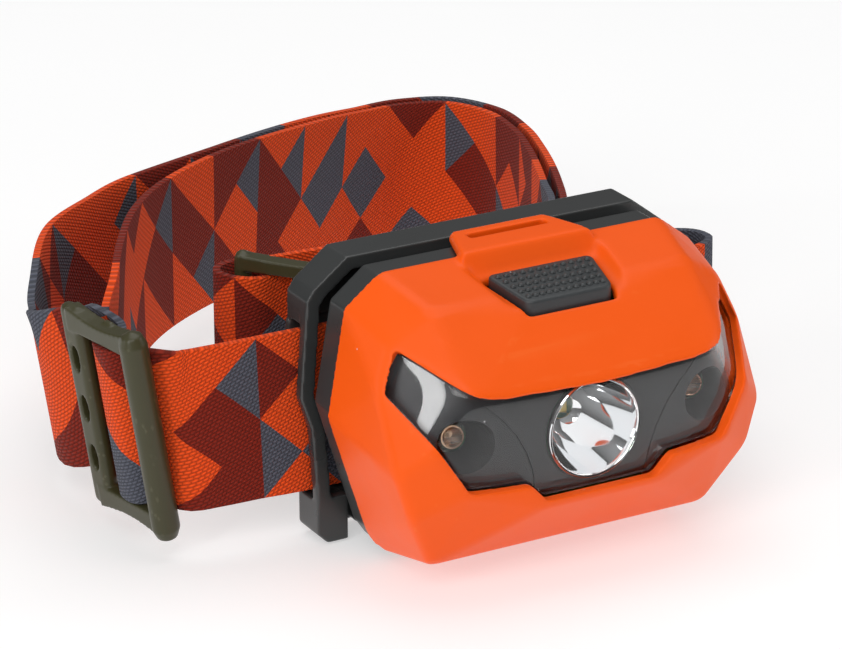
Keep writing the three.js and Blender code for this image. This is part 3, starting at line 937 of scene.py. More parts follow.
@dataclass
class FrontHousing:
    """The orange front shell with the lens, the panel, the lights and the board behind it."""

    palette: Palette
    outline: tuple[Flat, ...] = (
        (0, 23.3), (22.5, 23.3), (28.2, 18.8), (30.9, 3.6), (25, -15.5), (22.8, -18.8), (0, -19.3),
    )
    facets: tuple[Point, ...] = (
        (26.7, -10, 16.8), (29.3, -11.4, 10.5), (29.4, -17, 0), (27.4, -17.2, -6.6),
        (25.2, -20.3, 4), (20.5, -11, 20.9), (8, -14, 19.0), (20.5, -20.2, 12.7),
        (18.5, -22.2, 11.2), (0, -23, 10.4), (20.6, -21.8, -2.4), (11.3, -22.9, -3.4),
        (8.7, -22.7, -6.2), (22.4, -13.8, -15.8),
    )
    window: tuple[Corner, ...] = (
        (0, 10.1, 0), (18.6, 10.6, 12), (26.1, 16.2, 0.5), (28.4, 10.6, 0.6),
        (20.2, -2.6, 1.8), (11.3, -2.7, 1.4), (8.7, -5.5, 1.2), (0, -5.5, 0),
    )
    wall: float = 1.7
    reach: Point = (30.9, 23, 21.5)
    middle: Point = (0, 0, 1.5)
    facet_softness: float = 2.2
    voxel: float = 0.22
    relaxing: int = 9
    triangle_limit: int = 190000
    boss_radius: float = 1.9
    boss_bore: float = 0.95
    button_gap: float = 0.35
    sheet_end: float = -10.5
    panel_end: float = -7.6
    panel_line: tuple[Flat, ...] = ((16.8, 9), (14.2, 6.6), (12, 3.9), (10.3, 0.8), (9.2, -2.4), (8.7, -6))
    line_width: float = 0.3
    lens_depths: Flat = (0.7, 2.0)
    panel_depths: Flat = (2.7, 3.7)
    beam_height: float = 2.7
    reflector_radius: float = 7.3
    side_led: Flat = (19.2, 3.3)
    well_radius: float = 4.1
    well_floor: float = -10.4
    hinge_axis: Flat = (1.3, -17.9)
    hinge_spans: tuple[Flat, ...] = ((-17, -11), (11, 17))
    bosses: tuple[Flat, ...] = ((17, 14.6), (16.5, -10.5))
    board_front: float = -7.2
    button_back: Point = (8.6, -4.8, 21.7)
    button_front: Point = (6.8, -13.8, 20.3)
    tab_heights: Flat = (22.75, 24.3)

    def hull_points(self, inwards: float, back: float = 0.0) -> list[Point]:
        """The front's corners, drawn in by a wall's thickness.

        Args:
            inwards: thickness that the corners are drawn in by.
            back: y that the solid reaches back to, from the parting plane.

        Returns:
            The corners of both halves.
        """
        scale = [1 - inwards / reach for reach in self.reach]
        both = [*self.facets, *((-x, y, z) for x, y, z in self.facets)]
        drawn = [
            tuple(m + (v - m) * s for v, m, s in zip(point, self.middle, scale)) for point in both
        ]
        rim = inset(mirrored(self.outline), inwards)
        return [*drawn, *((x, 0, z) for x, z in rim), *((x, back, z) for x, z in rim)]

    def outer_block(self) -> Workpiece:
        """The faceted outside with softened facet edges and a crisp parting edge.

        Returns:
            The solid, which ends at the parting plane.
        """
        solid = hull(self.hull_points(0.0))

        def soften(shape: bmesh.types.BMesh) -> None:
            """Rounds the facet edges, but not the parting edge."""
            edges = [
                edge
                for edge in shape.edges
                if max(vert.co.y for vert in edge.verts) < -0.01
                or abs(edge.verts[0].co.y - edge.verts[1].co.y) > 0.5
            ]
            sharp = [edge for edge in edges if edge.calc_face_angle(0.0) > math.radians(6)]
            round_edges(shape, sharp, self.facet_softness, 5)

        return solid.reshape(soften).keep(block((-40, 40), (-40, 0), (-30, 30)))

    def button_block(self, grow: float, low: float, high: float, flare: float = 0.0) -> list[Point]:
        """Corners of a block that follows the button's sloping top.

        Args:
            grow: how much wider than the button it is, all round.
            low: height of its floor over the slope.
            high: height of its top over the slope.
            flare: how much wider its top is than its floor.

        Returns:
            Eight corners.
        """
        corners: list[Point] = []
        for (half, y, z), forward in ((self.button_back, 1), (self.button_front, -1)):
            for side in (-1, 1):
                for height, extra in ((low, 0.0), (high, flare)):
                    wide = grow + extra
                    corners.append((side * (half + wide), y + forward * wide, z + height))
        return corners

    def slope_height(self, y: float) -> float:
        """Height of the button's sloping top.

        Args:
            y: how far back along the button.

        Returns:
            The height there.
        """
        _, back_y, back_z = self.button_back
        _, front_y, front_z = self.button_front
        share = (y - back_y) / (front_y - back_y)
        return back_z + (front_z - back_z) * share

    def over_slope(self, x: float, y: float, height: float) -> Point:
        """A point at a height over the button's sloping top."""
        return (x, y, self.slope_height(y) + height)

    def trough(self) -> Workpiece:
        """The recess round the button: deep at its back, and running out at the hood's edge.

        Returns:
            The solid that is cut away.
        """
        low, high = -1.0, 6.0
        floor = [(10.3, -3.7), (8.3, -19.0)]
        brim = [(13.6, 0.6), (11.8, -20.0)]
        corners = [
            self.over_slope(side * x, y, height)
            for outline, height in ((floor, low), (brim, high))
            for x, y in outline
            for side in (-1, 1)
        ]
        return hull(corners, 1.2, 5)

    def pan(self) -> Workpiece:
        """The floor under the trough."""
        corners = [
            self.over_slope(side * x, y, height)
            for x, y in ((12.2, -1.5), (9.6, -15.5))
            for height in (-2.3, 0.5)
            for side in (-1, 1)
        ]
        return hull(corners).keep(hull(self.hull_points(0.5)))

    def tab(self) -> Workpiece:
        """The tab at the top rear with its long slot.

        Returns:
            The solid.
        """
        low, high = self.tab_heights
        foot = [(11.2, -2.5), (9.2, 3), (8, 6.6)]
        both = [(side * x, y) for x, y in foot for side in (-1, 1)]
        plate = hull([p for x, y in both for p in ((x, y, low), (x * 0.95, y, high))], 0.5, 4)
        slot = hull([(x, y, z) for x in (-6.3, 6.3) for y in (2.9, 4.6) for z in (20, 27)])
        return plate.cut(slot)

    def shell(self) -> None:
        """Builds the orange shell."""
        body = self.outer_block().cut(hull(self.hull_points(self.wall, back=1.0)))
        for x, z in self.bosses:
            for side in (-1, 1):
                post = rod(Axis.Y, self.boss_radius, (side * x, -24, z), 24 + self.board_front - 0.3)
                body.join(post.keep(hull(self.hull_points(0.4))))
        body.cut(prism(rounded(mirrored(self.window)), -30, -10.3))
        body.cut(block((-24, 24), (-1.2, 1), (-21, -17.6)))
        body.join(self.tab(), self.pan())
        y, z = self.hinge_axis
        for start, end in self.hinge_spans:
            body.join(rod(Axis.X, 1.5, (start, y, z), end - start))
            body.join(block((start, end), (-2.8, y), (-19.2, -17.6)))
            body.cut(rod(Axis.X, 0.8, (start - 1, y, z), end - start + 2))
        for x, z in self.bosses:
            for side in (-1, 1):
                body.cut(rod(Axis.Y, self.boss_bore, (side * x, self.board_front - 5.5, z), 8))
        body.cut(self.trough(), hull(self.button_block(self.button_gap, -6, 3)))
        body.mould(self.voxel, self.relaxing)
        body.reshape(self.round_brow)
        body.thin(self.triangle_limit)
        finish_piece(
            body, "orange_front_shell", Body.FRONT, self.palette.orange,
            ["front_shell"], crease=60,
        )

    def round_brow(self, shape: bmesh.types.BMesh) -> None:
        """Rolls the hood's edge over the window and the trough's lips into broad curves.

        Args:
            shape: the shell's bmesh.
        """
        shape.verts.ensure_lookup_table()

        def over_window(point: Vector) -> bool:
            """Whether a point is on the hood's edge."""
            low = 9.0 + max(0.0, abs(point.x) - 15) * 0.62
            return point.y < -9 and low < point.z < low + 5.2 and abs(point.x) < 24

        def round_trough(point: Vector) -> bool:
            """Whether a point is in or beside the trough."""
            return abs(point.x) < 13.5 and -18.5 < point.y < -0.5 and point.z > 18.2

        def soften(inside: Callable[[Vector], bool], times: int) -> None:
            """Relaxes the points that a test picks, a number of times."""
            chosen = [vert for vert in shape.verts if inside(vert.co)]
            for _ in range(times):
                bmesh.ops.smooth_vert(
                    shape, verts=chosen, factor=0.5, use_axis_x=True, use_axis_y=True, use_axis_z=True
                )

        soften(over_window, 40)
        soften(round_trough, 18)

    def front_planes(self, depth: float) -> list[tuple[Vector, float]]:
        """The planes of the front's facets, moved inwards.

        Args:
            depth: how far they are moved.

        Returns:
            Each plane's outward normal and its distance from the origin.
        """
        solid = hull(self.hull_points(0.0))
        planes = [
            (polygon.normal.copy(), polygon.normal.dot(polygon.center) - depth)
            for polygon in solid.object.data.polygons
            if polygon.normal.y < -0.02
        ]
        solid.discard()
        return planes

    def curved_block(self, depth: float, softness: float = 0.7) -> Workpiece:
        """A solid whose front runs smoothly under the facets at a given depth.

        Args:
            depth: how far under the shell's outside the front lies.
            softness: radius that the facets flow into each other with.

        Returns:
            The solid, which reaches back to the parting plane.
        """
        planes = self.front_planes(depth)

        def surface(x: float, z: float) -> float:
            """How far forward the smooth front is at a place."""
            values = [(d - n.x * x - n.z * z) / n.y for n, d in planes]
            top = max(values)
            return top + softness * math.log(sum(math.exp((v - top) / softness) for v in values))

        shape = bmesh.new()
        bmesh.ops.create_grid(shape, x_segments=116, y_segments=52, size=1.0)
        for vert in shape.verts:
            x, z = vert.co.x * 30.0, 5.2 + vert.co.y * 13.8
            vert.co = Vector((x, min(surface(x, z), -1.0), z))
        grown = bmesh.ops.extrude_face_region(shape, geom=shape.faces[:])
        for item in grown["geom"]:
            if isinstance(item, bmesh.types.BMVert):
                item.co.y = 0.0
        return Workpiece(shape)

    def curved_sheet(self, depths: Flat, opening: Sequence[Flat], end: float) -> Workpiece:
        """A smooth sheet that follows the front between two depths.

        Args:
            depths: how far its two faces lie under the shell's outside.
            opening: the outline that it fills.
            end: y that it stops at on the sides of the housing.

        Returns:
            The sheet.
        """
        outer, inner = depths
        sheet = self.curved_block(outer).cut(self.curved_block(inner))
        return sheet.keep(prism(opening, -30, end))

    def lens(self) -> None:
        """Builds the clear wrap-around lens."""
        opening = rounded(mirrored([(x, z, r) for x, z, r in self.window]))
        sheet = self.curved_sheet(self.lens_depths, inset(opening, 0.25), self.sheet_end)
        finish_piece(
            sheet, "wrap_around_lens", Body.FRONT, self.palette.clear, ["window_lens"],
            crease=50,
        )

    def panel(self) -> None:
        """Builds the dark panel with the wells that the side lights stand in."""
        opening = inset(rounded(mirrored(self.window)), -1.1)
        sheet = self.curved_sheet(self.panel_depths, opening, self.panel_end)
        x, z = self.side_led
        for side in (-1, 1):
            floor = self.well_floor
            tube = rod(Axis.Y, self.well_radius + 0.6, (side * x, -24, z), 24 + floor + 0.6, 64)
            sheet.join(tube.keep(self.curved_block(self.panel_depths[0] + 0.25)))
        for side in (-1, 1):
            well = hull(
                [
                    (side * x + radius * math.cos(turn), y, z + radius * math.sin(turn))
                    for radius, y in ((self.well_radius, -24), (self.well_radius - 0.4, floor - 0.2))
                    for turn in (math.tau * step / 64 for step in range(64))
                ]
            )
            sheet.cut(well, rod(Axis.Y, 2.62, (side * x, -14, z), 8))
        sheet.cut(rod(Axis.Y, self.reflector_radius + 0.2, (0, -26, self.beam_height), 20, 96))
        for side in (-1, 1):
            line = [(side * x, z) for x, z in self.panel_line]
            edge = [(x + side * self.line_width, z) for x, z in reversed(line)]
            above = prism([*line, *edge], -30, -8).cut(self.curved_block(self.panel_depths[0] + 0.35))
            sheet.cut(above)
        finish_piece(
            sheet, "lens_back_panel", Body.FRONT, self.palette.panel, ["inner_panel"],
            crease=35,
        )

    def reflector(self) -> None:
        """Builds the metallised cup with its rolled rim."""
        radius = self.reflector_radius
        steps = 14
        depth = 9.4
        throat = 2.1
        bowl = [
            (throat + (radius - 0.55 - throat) * math.sqrt(step / steps), 0.9 + depth * step / steps)
            for step in range(steps, -1, -1)
        ]
        rim = [(radius - 0.42, 10.55), (radius - 0.2, 10.7), (radius, 10.5), (radius, 10.0)]
        outside = [(radius - 0.15, 9.4), (6.5, 6), (5.2, 3), (3.2, 0.6), (throat, 0.2)]
        cup = turned([*bowl, *reversed(outside), *reversed(rim)], (0, -9.4, self.beam_height), 96)
        finish_piece(
            cup, "reflector_cup", Body.FRONT, self.palette.chrome, ["reflector"], crease=35
        )

    def main_light(self) -> None:
        """Builds the main light's clear dome over its phosphor."""
        profile = [(1.95 * math.cos(a), 1.3 + 1.1 * math.sin(a)) for a in arc(0, 90, 8)]
        dome = turned([(0, 1.05), (1.95, 1.05), *profile[:-1], (0, 2.4)], (0, -9.4, self.beam_height), 48)
        finish_piece(
            dome, "main_light_dome", Body.FRONT, self.palette.led_resin, crease=50
        )

    def side_light(self, side: int, label: str) -> None:
        """Builds one 5 mm light: its resin body and the metal frame inside it.

        Args:
            side: -1 for the left light, 1 for the right one.
            label: left or right.
        """
        x, z = side * self.side_led[0], self.side_led[1]
        radius = 2.5
        dome = [(radius * math.cos(a), 4.3 + 2.5 * math.sin(a)) for a in arc(0, 90, 10)]
        body = turned([(0, 0), (2.9, 0), (2.9, 1), (radius, 1), *dome[:-1], (0, 6.8)], (x, -8.8, z), 48)
        finish_piece(
            body, f"side_light_{label}", Body.FRONT, self.palette.led_resin,
            [f"side_led_{label}"], crease=50,
        )
        post = block((x - 1.0, x + 0.1), (-13.4, -9.2), (z - 0.4, z + 0.4), 0.1)
        cup_profile = [(0, 4.0), (0.6, 4.0), (1.35, 5.2), (1.15, 5.25), (0.4, 4.5), (0, 4.5)]
        cup = turned(cup_profile, (x, -8.8, z), 32)
        arm = block((x + 0.7, x + 1.3), (-13.6, -9.2), (z - 0.35, z + 0.35), 0.1)
        finish_piece(
            post.join(cup, arm), f"side_light_frame_{label}", Body.FRONT,
            self.palette.lead_frame, crease=35,
        )

    def build(self) -> None:
        """Builds the whole front housing."""
        self.shell()
        self.lens()
        self.panel()
        self.reflector()
        self.main_light()
        self.side_light(-1, "left")
        self.side_light(1, "right")


def arc(start: float, end: float, steps: int) -> list[float]:
    """Evenly spaced angles from start to end, given in degrees and returned in radians."""
    return [math.radians(start + (end - start) * step / steps) for step in range(steps + 1)]


@dataclass
class ButtonPad:
    """The rubber button with its grip domes."""

    palette: Palette
    front: FrontHousing
    thickness: float = 2.7
    rows: int = 5
    columns: int = 12
    dome_radius: float = 0.5
    dome_height: float = 0.42
    margin: float = 1.15

    def domes(self, shape: bmesh.types.BMesh) -> None:
        """Adds the rows of domes to the pad's bmesh, on its sloping top.

        Args:
            shape: the pad's bmesh.
        """
        back_half, back_y, back_z = self.front.button_back
        front_half, front_y, front_z = self.front.button_front
        slope = math.atan2(back_z - front_z, back_y - front_y)
        tilt = Matrix.Rotation(slope, 4, "X")
        squash = Matrix.Diagonal((1, 1, self.dome_height / self.dome_radius, 1))
        for row in range(self.rows):
            share = (row + 0.5) / self.rows
            run = 0.06 + 0.86 * share
            half = back_half + (front_half - back_half) * run - self.margin
            y = back_y + (front_y - back_y) * run
            z = back_z + (front_z - back_z) * run
            for column in range(self.columns):
                x = half * (2 * column / (self.columns - 1) - 1)
                bmesh.ops.create_uvsphere(
                    shape,
                    u_segments=10,
                    v_segments=6,
                    radius=self.dome_radius,
                    matrix=Matrix.Translation((x, y, z - 0.04)) @ tilt @ squash,
                )

    def build(self) -> None:
        """Builds the pad."""
        pad = hull(self.front.button_block(0, -self.thickness, 0))

        def soften(shape: bmesh.types.BMesh) -> None:
            """Rounds the pad's upright edges, and then the edges of its top."""
            upright = [
                edge for edge in shape.edges
                if abs(edge.verts[0].co.z - edge.verts[1].co.z) > 1.2
                and abs(edge.verts[0].co.x - edge.verts[1].co.x) < 0.1
                and abs(edge.verts[0].co.y - edge.verts[1].co.y) < 0.1
            ]
            round_edges(shape, upright, 1.3, 6)
            top = [
                edge for edge in shape.edges
                if edge.calc_face_angle(0) > math.radians(50)
                and min(self.over_slope(vert.co) for vert in edge.verts) > -0.2
            ]
            round_edges(shape, top, 0.45, 4)

        pad.reshape(soften)
        stem = rod(Axis.Z, 1.6, (0, -9.35, 17.5), 2)
        pad.join(stem).reshape(self.domes)
        finish_piece(
            pad, "grip_button", Body.BUTTON, self.palette.rubber, ["button_pad"],
            crease=45,
        )

    def over_slope(self, point: Vector) -> float:
        """Height of a point over the button's sloping top."""
        return point.z - self.front.slope_height(point.y)


# ---------------------------------------------------------------------------- rear housing


@dataclass
class RearHousing:
    """The grey rear shell and the bracket that the headband runs through."""

    palette: Palette
    voxel: float = 0.26

    def build(self) -> None:
        """Builds both grey mouldings from their CAD shapes, with softened edges."""
        shell = from_cad("rear_shell").mould(self.voxel, 5).thin(195000)
        finish_piece(
            shell, "grey_rear_shell", Body.REAR, self.palette.grey, ["rear_shell"],
            crease=60,
        )
        tray = from_cad("bracket").mould(self.voxel, 5).thin(195000)
        finish_piece(
            tray, "headband_bracket", Body.HEADBAND, self.palette.grey, ["bracket"],
            crease=60,
        )


# ---------------------------------------------------------------------------- headband


@dataclass(frozen=True)
class BucklePlace:
    """Where a buckle stands: s runs along the webbing, n out of its face and w across it."""

    middle: Vector
    along: Flat
    lean: float
    tilt: float = 0.0

    @property
    def out(self) -> Vector:
        """The direction that the buckle's face looks in."""
        flat = Vector((*self.along, 0)).normalized()
        return Matrix.Rotation(math.radians(-self.tilt), 3, flat) @ Vector((-flat.y, flat.x, 0))

    @property
    def run(self) -> Vector:
        """The direction along the webbing."""
        flat = Vector((*self.along, 0)).normalized()
        return Matrix.Rotation(math.radians(self.lean), 3, self.out) @ flat

    @property
    def width(self) -> Vector:
        """The direction across the webbing."""
        return self.out.cross(self.run)

    def at(self, s: float, n: float, w: float = 0.0) -> Vector:
        """The point at the given distances along, out of and across the buckle."""
        return self.middle + self.run * s + self.out * n + self.width * w


SLIDER = BucklePlace(Vector((-52, 22.3, -1.0)), (-0.17, 0.985), 0, 9)
TRIGLIDE = BucklePlace(Vector((-19.5, 31.5, -1)), (-0.62, 0.785), 0)


@dataclass
class Buckles:
    """The two olive buckles on the webbing."""

    palette: Palette
    height: float = 31.0
    slider_height: float = 33.4
    window: float = 26.0

    def height_of(self, place: BucklePlace) -> float:
        """The overall height of a buckle."""
        return self.slider_height if place is SLIDER else self.height

    def bar(self, place: BucklePlace, s: float, radius: float, n: float = 0.0) -> Workpiece:
        """One round bar across a buckle.

        Args:
            place: the buckle.
            s: the bar's place along the webbing.
            radius: its radius.
            n: how far it stands out of the buckle's middle plane.

        Returns:
            The solid.
        """
        half = self.height_of(place) / 2 - radius
        turns = [math.tau * step / 20 for step in range(20)]
        rings = [(half, 1.0), (half + radius * 0.7, 0.72), (half + radius * 0.98, 0.2)]
        points = [
            tuple(place.at(
                s + radius * share * math.cos(turn), n + radius * share * math.sin(turn), sign * w
            ))
            for w, share in rings for sign in (-1, 1) for turn in turns
        ]
        return hull(points)

    def slab(self, place: BucklePlace, s: Flat, n: Flat, w: Flat, bevel: float = 0.0) -> Workpiece:
        """A block on a buckle's own axes."""
        return hull([tuple(place.at(a, b, c)) for a in s for b in n for c in w], bevel)

    def rail(self, place: BucklePlace, s: Flat, sign: int, dip: float, thick: float) -> Workpiece:
        """One of the two rails that join the bars, with its outer edge dipped between them.

        Args:
            place: the buckle.
            s: the rail's two ends along the webbing.
            sign: 1 for the upper rail, -1 for the lower one.
            dip: how far the outer edge falls in the middle.
            thick: its thickness.

        Returns:
            The solid.
        """
        top = self.height_of(place) / 2 - 0.5
        low = self.window / 2
        pieces: list[Workpiece] = []
        steps = 6
        for step in range(steps):
            ends = []
            for share in (step / steps, (step + 1) / steps):
                fall = dip * math.sin(math.pi * share)
                ends.append((s[0] + (s[1] - s[0]) * share, top - fall))
            points = [
                tuple(place.at(a, n, sign * w))
                for a, high in ends for w in (low - 0.4, high) for n in (-thick / 2, thick / 2)
            ]
            pieces.append(hull(points))
        return pieces[0].join(*pieces[1:])

    def slider(self) -> None:
        """Builds the slider: a thick round bar, a middle bar and a wide bar with three holes."""
        place = SLIDER
        half = self.height_of(place) / 2
        body = self.slab(place, (5, 9.6), (-1.2, 1.2), (-half + 0.5, half - 0.5), 1.1)
        body.join(self.bar(place, -7.4, 2.05, 0.2))
        body.join(self.slab(place, (-1.4, 0.6), (-1.15, -0.2), (-half + 1, half - 1), 0.3))
        for sign in (-1, 1):
            body.join(self.rail(place, (-7.6, 7.6), sign, 1.0, 2.6))
        for w in (-8, 0, 8):
            turns = [math.tau * step / 28 for step in range(28)]
            body.cut(hull([
                tuple(place.at(7.15 + 0.85 * math.cos(turn), n, w + 2.1 * math.sin(turn)))
                for turn in turns for n in (-4, 4)
            ]))
        body.mould(0.17, 14).thin(80000)
        finish_piece(
            body, "band_slider", Body.HEADBAND, self.palette.olive, ["slider_buckle"],
            crease=70,
        )

    def triglide(self) -> None:
        """Builds the second buckle, which the far end of the webbing folds round."""
        place = TRIGLIDE
        half = self.height_of(place) / 2
        body = self.bar(place, -8.15, 1.3).join(self.bar(place, 8.15, 1.3))
        body.join(self.slab(place, (-1.4, 0.6), (-1.15, -0.2), (-half + 1, half - 1), 0.3))
        for sign in (-1, 1):
            body.join(self.rail(place, (-8.6, 8.6), sign, 0.35, 2.7))
        body.mould(0.17, 10).thin(60000)
        finish_piece(
            body, "band_triglide", Body.HEADBAND, self.palette.olive, ["triglide_buckle"],
            crease=70,
        )

    def build(self) -> None:
        """Builds both buckles."""
        self.slider()
        self.triglide()


@dataclass
class Webbing:
    """The elastic webbing, one length threaded through the bracket and both buckles."""

    palette: Palette
    width: float = 24.6
    thickness: float = 1.1
    step: float = 0.9
    columns: int = 16
    layer_pitch: float = 2.3
    run_y: float = 11.2

    def route(self) -> list[tuple[Vector, Vector]]:
        """The webbing's centre line as it is threaded.

        Returns:
            Each point with the direction of the webbing's width there.
        """
        up = Vector((0, 0, 1))
        lean = -SLIDER.width
        half_lean = (up + lean).normalized()
        y = self.run_y
        lamp_run = [
            TRIGLIDE.at(-11, 0.6), (-6, 20.6, -0.6), (8, 19.2, -0.3), (26, 19.2, 0), (36, 19.6, 0),
            (40.4, 17, 0), (40.6, 13.4, 0), (36.5, y, 0), (30, y, 0), (0, y, 0), (-30, y, 0),
        ]
        to_slider = [(-36, y + 0.7, -0.2), (-42, y + 1.5, -0.5), (-46.0, y + 2.7, -0.8)]
        weave = [
            SLIDER.at(s, n) for s, n in (
                (-6.4, -2.6), (-5, -1.9), (-3.2, -0.4), (-1.7, 0.9),
                (0.8, 0.9), (2.1, 0.4), (3.5, -1.4), (4.8, -2.5), (7.2, -2.9),
            )
        ]
        leave = [SLIDER.at(12, -3.2)]
        left = [(-53.6, 43, -3), (-48.8, 54.5, -1.5), (-40, 69, -0.8), (-29.7, 77.4, -0.9), (-22, 82.6, -1)]
        far = [
            (-3.6, 90.6, -1.6), (18, 102, -4), (31, 108.8, -6.2), (42.5, 112.4, -7.4),
            (50.5, 109.6, -7.5), (55, 100.5, -7.5), (54, 89, -7.4), (50.8, 79, -7.2),
            (43.4, 61.5, -6.3), (36, 47.5, -4.6),
        ]
        to_ring = [(27.5, 36.8, -3), (14, 31, -2), (0, 29, -1.4)]
        ring = [
            TRIGLIDE.at(s, n) for s, n in (
                (-9.8, -2.6), (-1, -2.6), (1.6, -2.4), (3.2, -0.6), (4.6, 1.6), (6.4, 2.6), (9, 2.7),
                (11.6, 1.6), (12.4, -0.6), (11.2, -3.4), (8.8, -4.9),
            )
        ]
        inner = [(-14, 40.8, -1), (-4.3, 39.8, -1), (8, 38.4, -1.4), (21, 39, -2.4)]
        inside = self.alongside(far)
        back = [(-18, 79, -1.2), (-27, 70, -1), (-34.5, 58.5, -1), (-41, 47, -1.6), (-47, 37.5, -3)]
        end = [SLIDER.at(9, -5.6), SLIDER.at(3.4, -4.9), SLIDER.at(0.4, -3)]
        stretches = [
            (lamp_run, up), (to_slider, half_lean), (weave, lean), (leave, lean), (left, lean),
            (far, up), (to_ring, up), (ring, up), (inner, up), (inside, up), (back, up), (end, lean),
        ]
        return [(Vector(point), width) for points, width in stretches for point in points]

    def alongside(self, points: Sequence[Point]) -> list[Vector]:
        """The same route moved towards the inside of the loop, and walked the other way.

        Args:
            points: the outer layer's points.

        Returns:
            The inner layer's points.
        """
        moved: list[Vector] = []
        for index, point in enumerate(points):
            before = Vector(points[max(index - 1, 0)])
            after = Vector(points[min(index + 1, len(points) - 1)])
            along = Vector((after.x - before.x, after.y - before.y)).normalized()
            shift = Vector((along.y, -along.x, 0)) * self.layer_pitch
            moved.append(Vector(point) + shift)
        return moved[::-1]

    def fine_line(self) -> list[tuple[Vector, Vector]]:
        """The route as closely and evenly spaced points on a smooth curve.

        Returns:
            The points with their width directions.
        """
        knots = self.route()
        ends = [(knots[0][0] * 2 - knots[1][0], knots[0][1]), (knots[-1][0] * 2 - knots[-2][0], knots[-1][1])]
        padded = [ends[0], *knots, ends[1]]
        dense: list[tuple[Vector, Vector]] = []
        for index in range(1, len(padded) - 2):
            window = [padded[index + offset] for offset in (-1, 0, 1, 2)]
            dense.extend(spline(window, 24))
        dense.append(knots[-1])
        spaced = [dense[0]]
        for point, width in dense[1:]:
            if (point - spaced[-1][0]).length >= self.step:
                spaced.append((point, width))
        return spaced

    def build(self) -> None:
        """Builds the webbing as one strip with its own map."""
        line = self.fine_line()
        shape = bmesh.new()
        bmesh.ops.create_grid(shape, x_segments=len(line) - 1, y_segments=self.columns, size=1.0)
        layer = shape.loops.layers.uv.new("weave")
        walked = [0.0]
        for (point, _), (before, _) in zip(line[1:], line):
            walked.append(walked[-1] + (point - before).length)
        for face in shape.faces:
            for loop in face.loops:
                index = round((loop.vert.co.x + 1) / 2 * (len(line) - 1))
                loop[layer].uv = (walked[index] / self.width, (loop.vert.co.y + 1) / 2)
        for vert in shape.verts:
            index = round((vert.co.x + 1) / 2 * (len(line) - 1))
            across = vert.co.y * self.width / 2
            point, width = line[index]
            ahead = line[min(index + 1, len(line) - 1)][0]
            behind = line[max(index - 1, 0)][0]
            along = (ahead - behind).normalized()
            upright = (width - along * width.dot(along)).normalized()
            side = along.cross(upright)
            ripple = 0.1 * math.sin(walked[index] / 7.3) * (across / self.width * 2) ** 2
            vert.co = point + upright * across + side * ripple
        work = Workpiece(shape)
        work.object.modifiers.clear()
        work._apply("SOLIDIFY", thickness=self.thickness, offset=0.0, use_even_offset=False)
        work._apply(
            "BEVEL", width=0.32, segments=2, limit_method="ANGLE", angle_limit=math.radians(60)
        )
        finish_piece(
            work, "elastic_webbing", Body.HEADBAND, self.palette.webbing,
            ["band_lamp_run", "band_slider_weave", "band_outer_loop", "band_ring_fold", "band_inner_loop"],
            crease=70,
        )


def spline(window: Sequence[tuple[Vector, Vector]], steps: int) -> list[tuple[Vector, Vector]]:
    """Points on the centripetal Catmull-Rom stretch between the middle two of four knots.

    Args:
        window: four knots, each a point with the webbing's width direction there.
        steps: how many points to make, without the stretch's last one.

    Returns:
        The points with their width directions.
    """
    points = [knot[0] for knot in window]
    times = [0.0]
    for first, second in zip(points, points[1:]):
        times.append(times[-1] + max((second - first).length, 1e-4) ** 0.5)

    def blend(a: Vector, b: Vector, start: float, end: float, time: float) -> Vector:
        """The place between two points at a time between theirs."""
        return a.lerp(b, (time - start) / (end - start))

    made: list[tuple[Vector, Vector]] = []
    for step in range(steps):
        share = step / steps
        time = times[1] + (times[2] - times[1]) * share
        first = blend(points[0], points[1], times[0], times[1], time)
        second = blend(points[1], points[2], times[1], times[2], time)
        third = blend(points[2], points[3], times[2], times[3], time)
        left = blend(first, second, times[0], times[2], time)
        right = blend(second, third, times[1], times[3], time)
        width = window[1][1].lerp(window[2][1], share).normalized()
        made.append((blend(left, right, times[1], times[2], time), width))
    return made


# ---------------------------------------------------------------------------- inner parts


@dataclass
class InnerParts:
    """The CAD nodes that keep their shape and only need their finish."""

    palette: Palette

    def build(self) -> None:
        """Dresses every CAD node that is still shown."""
        finishes = {
            "main_led_board": self.palette.board,
            "main_led": self.palette.emitter,
            "circuit_board": self.palette.board,
            "switch_body": self.palette.steel,
            "switch_plunger": self.palette.rubber,
            "body_seal": self.palette.rubber,
            "battery_": self.palette.cell,
            "board_screw_": self.palette.steel,
            "contact_": self.palette.steel,
            "lid_pin_": self.palette.steel,
            "tilt_pin_": self.palette.steel,
        }
        for name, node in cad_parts.items():
            for start, material in finishes.items():
                if name.startswith(start) and not node.hide_render:
                    node.data.materials.clear()
                    node.data.materials.append(material)
                    LOG.info("%s: finish %s", name, material.name)
                    break


# ---------------------------------------------------------------------------- studio


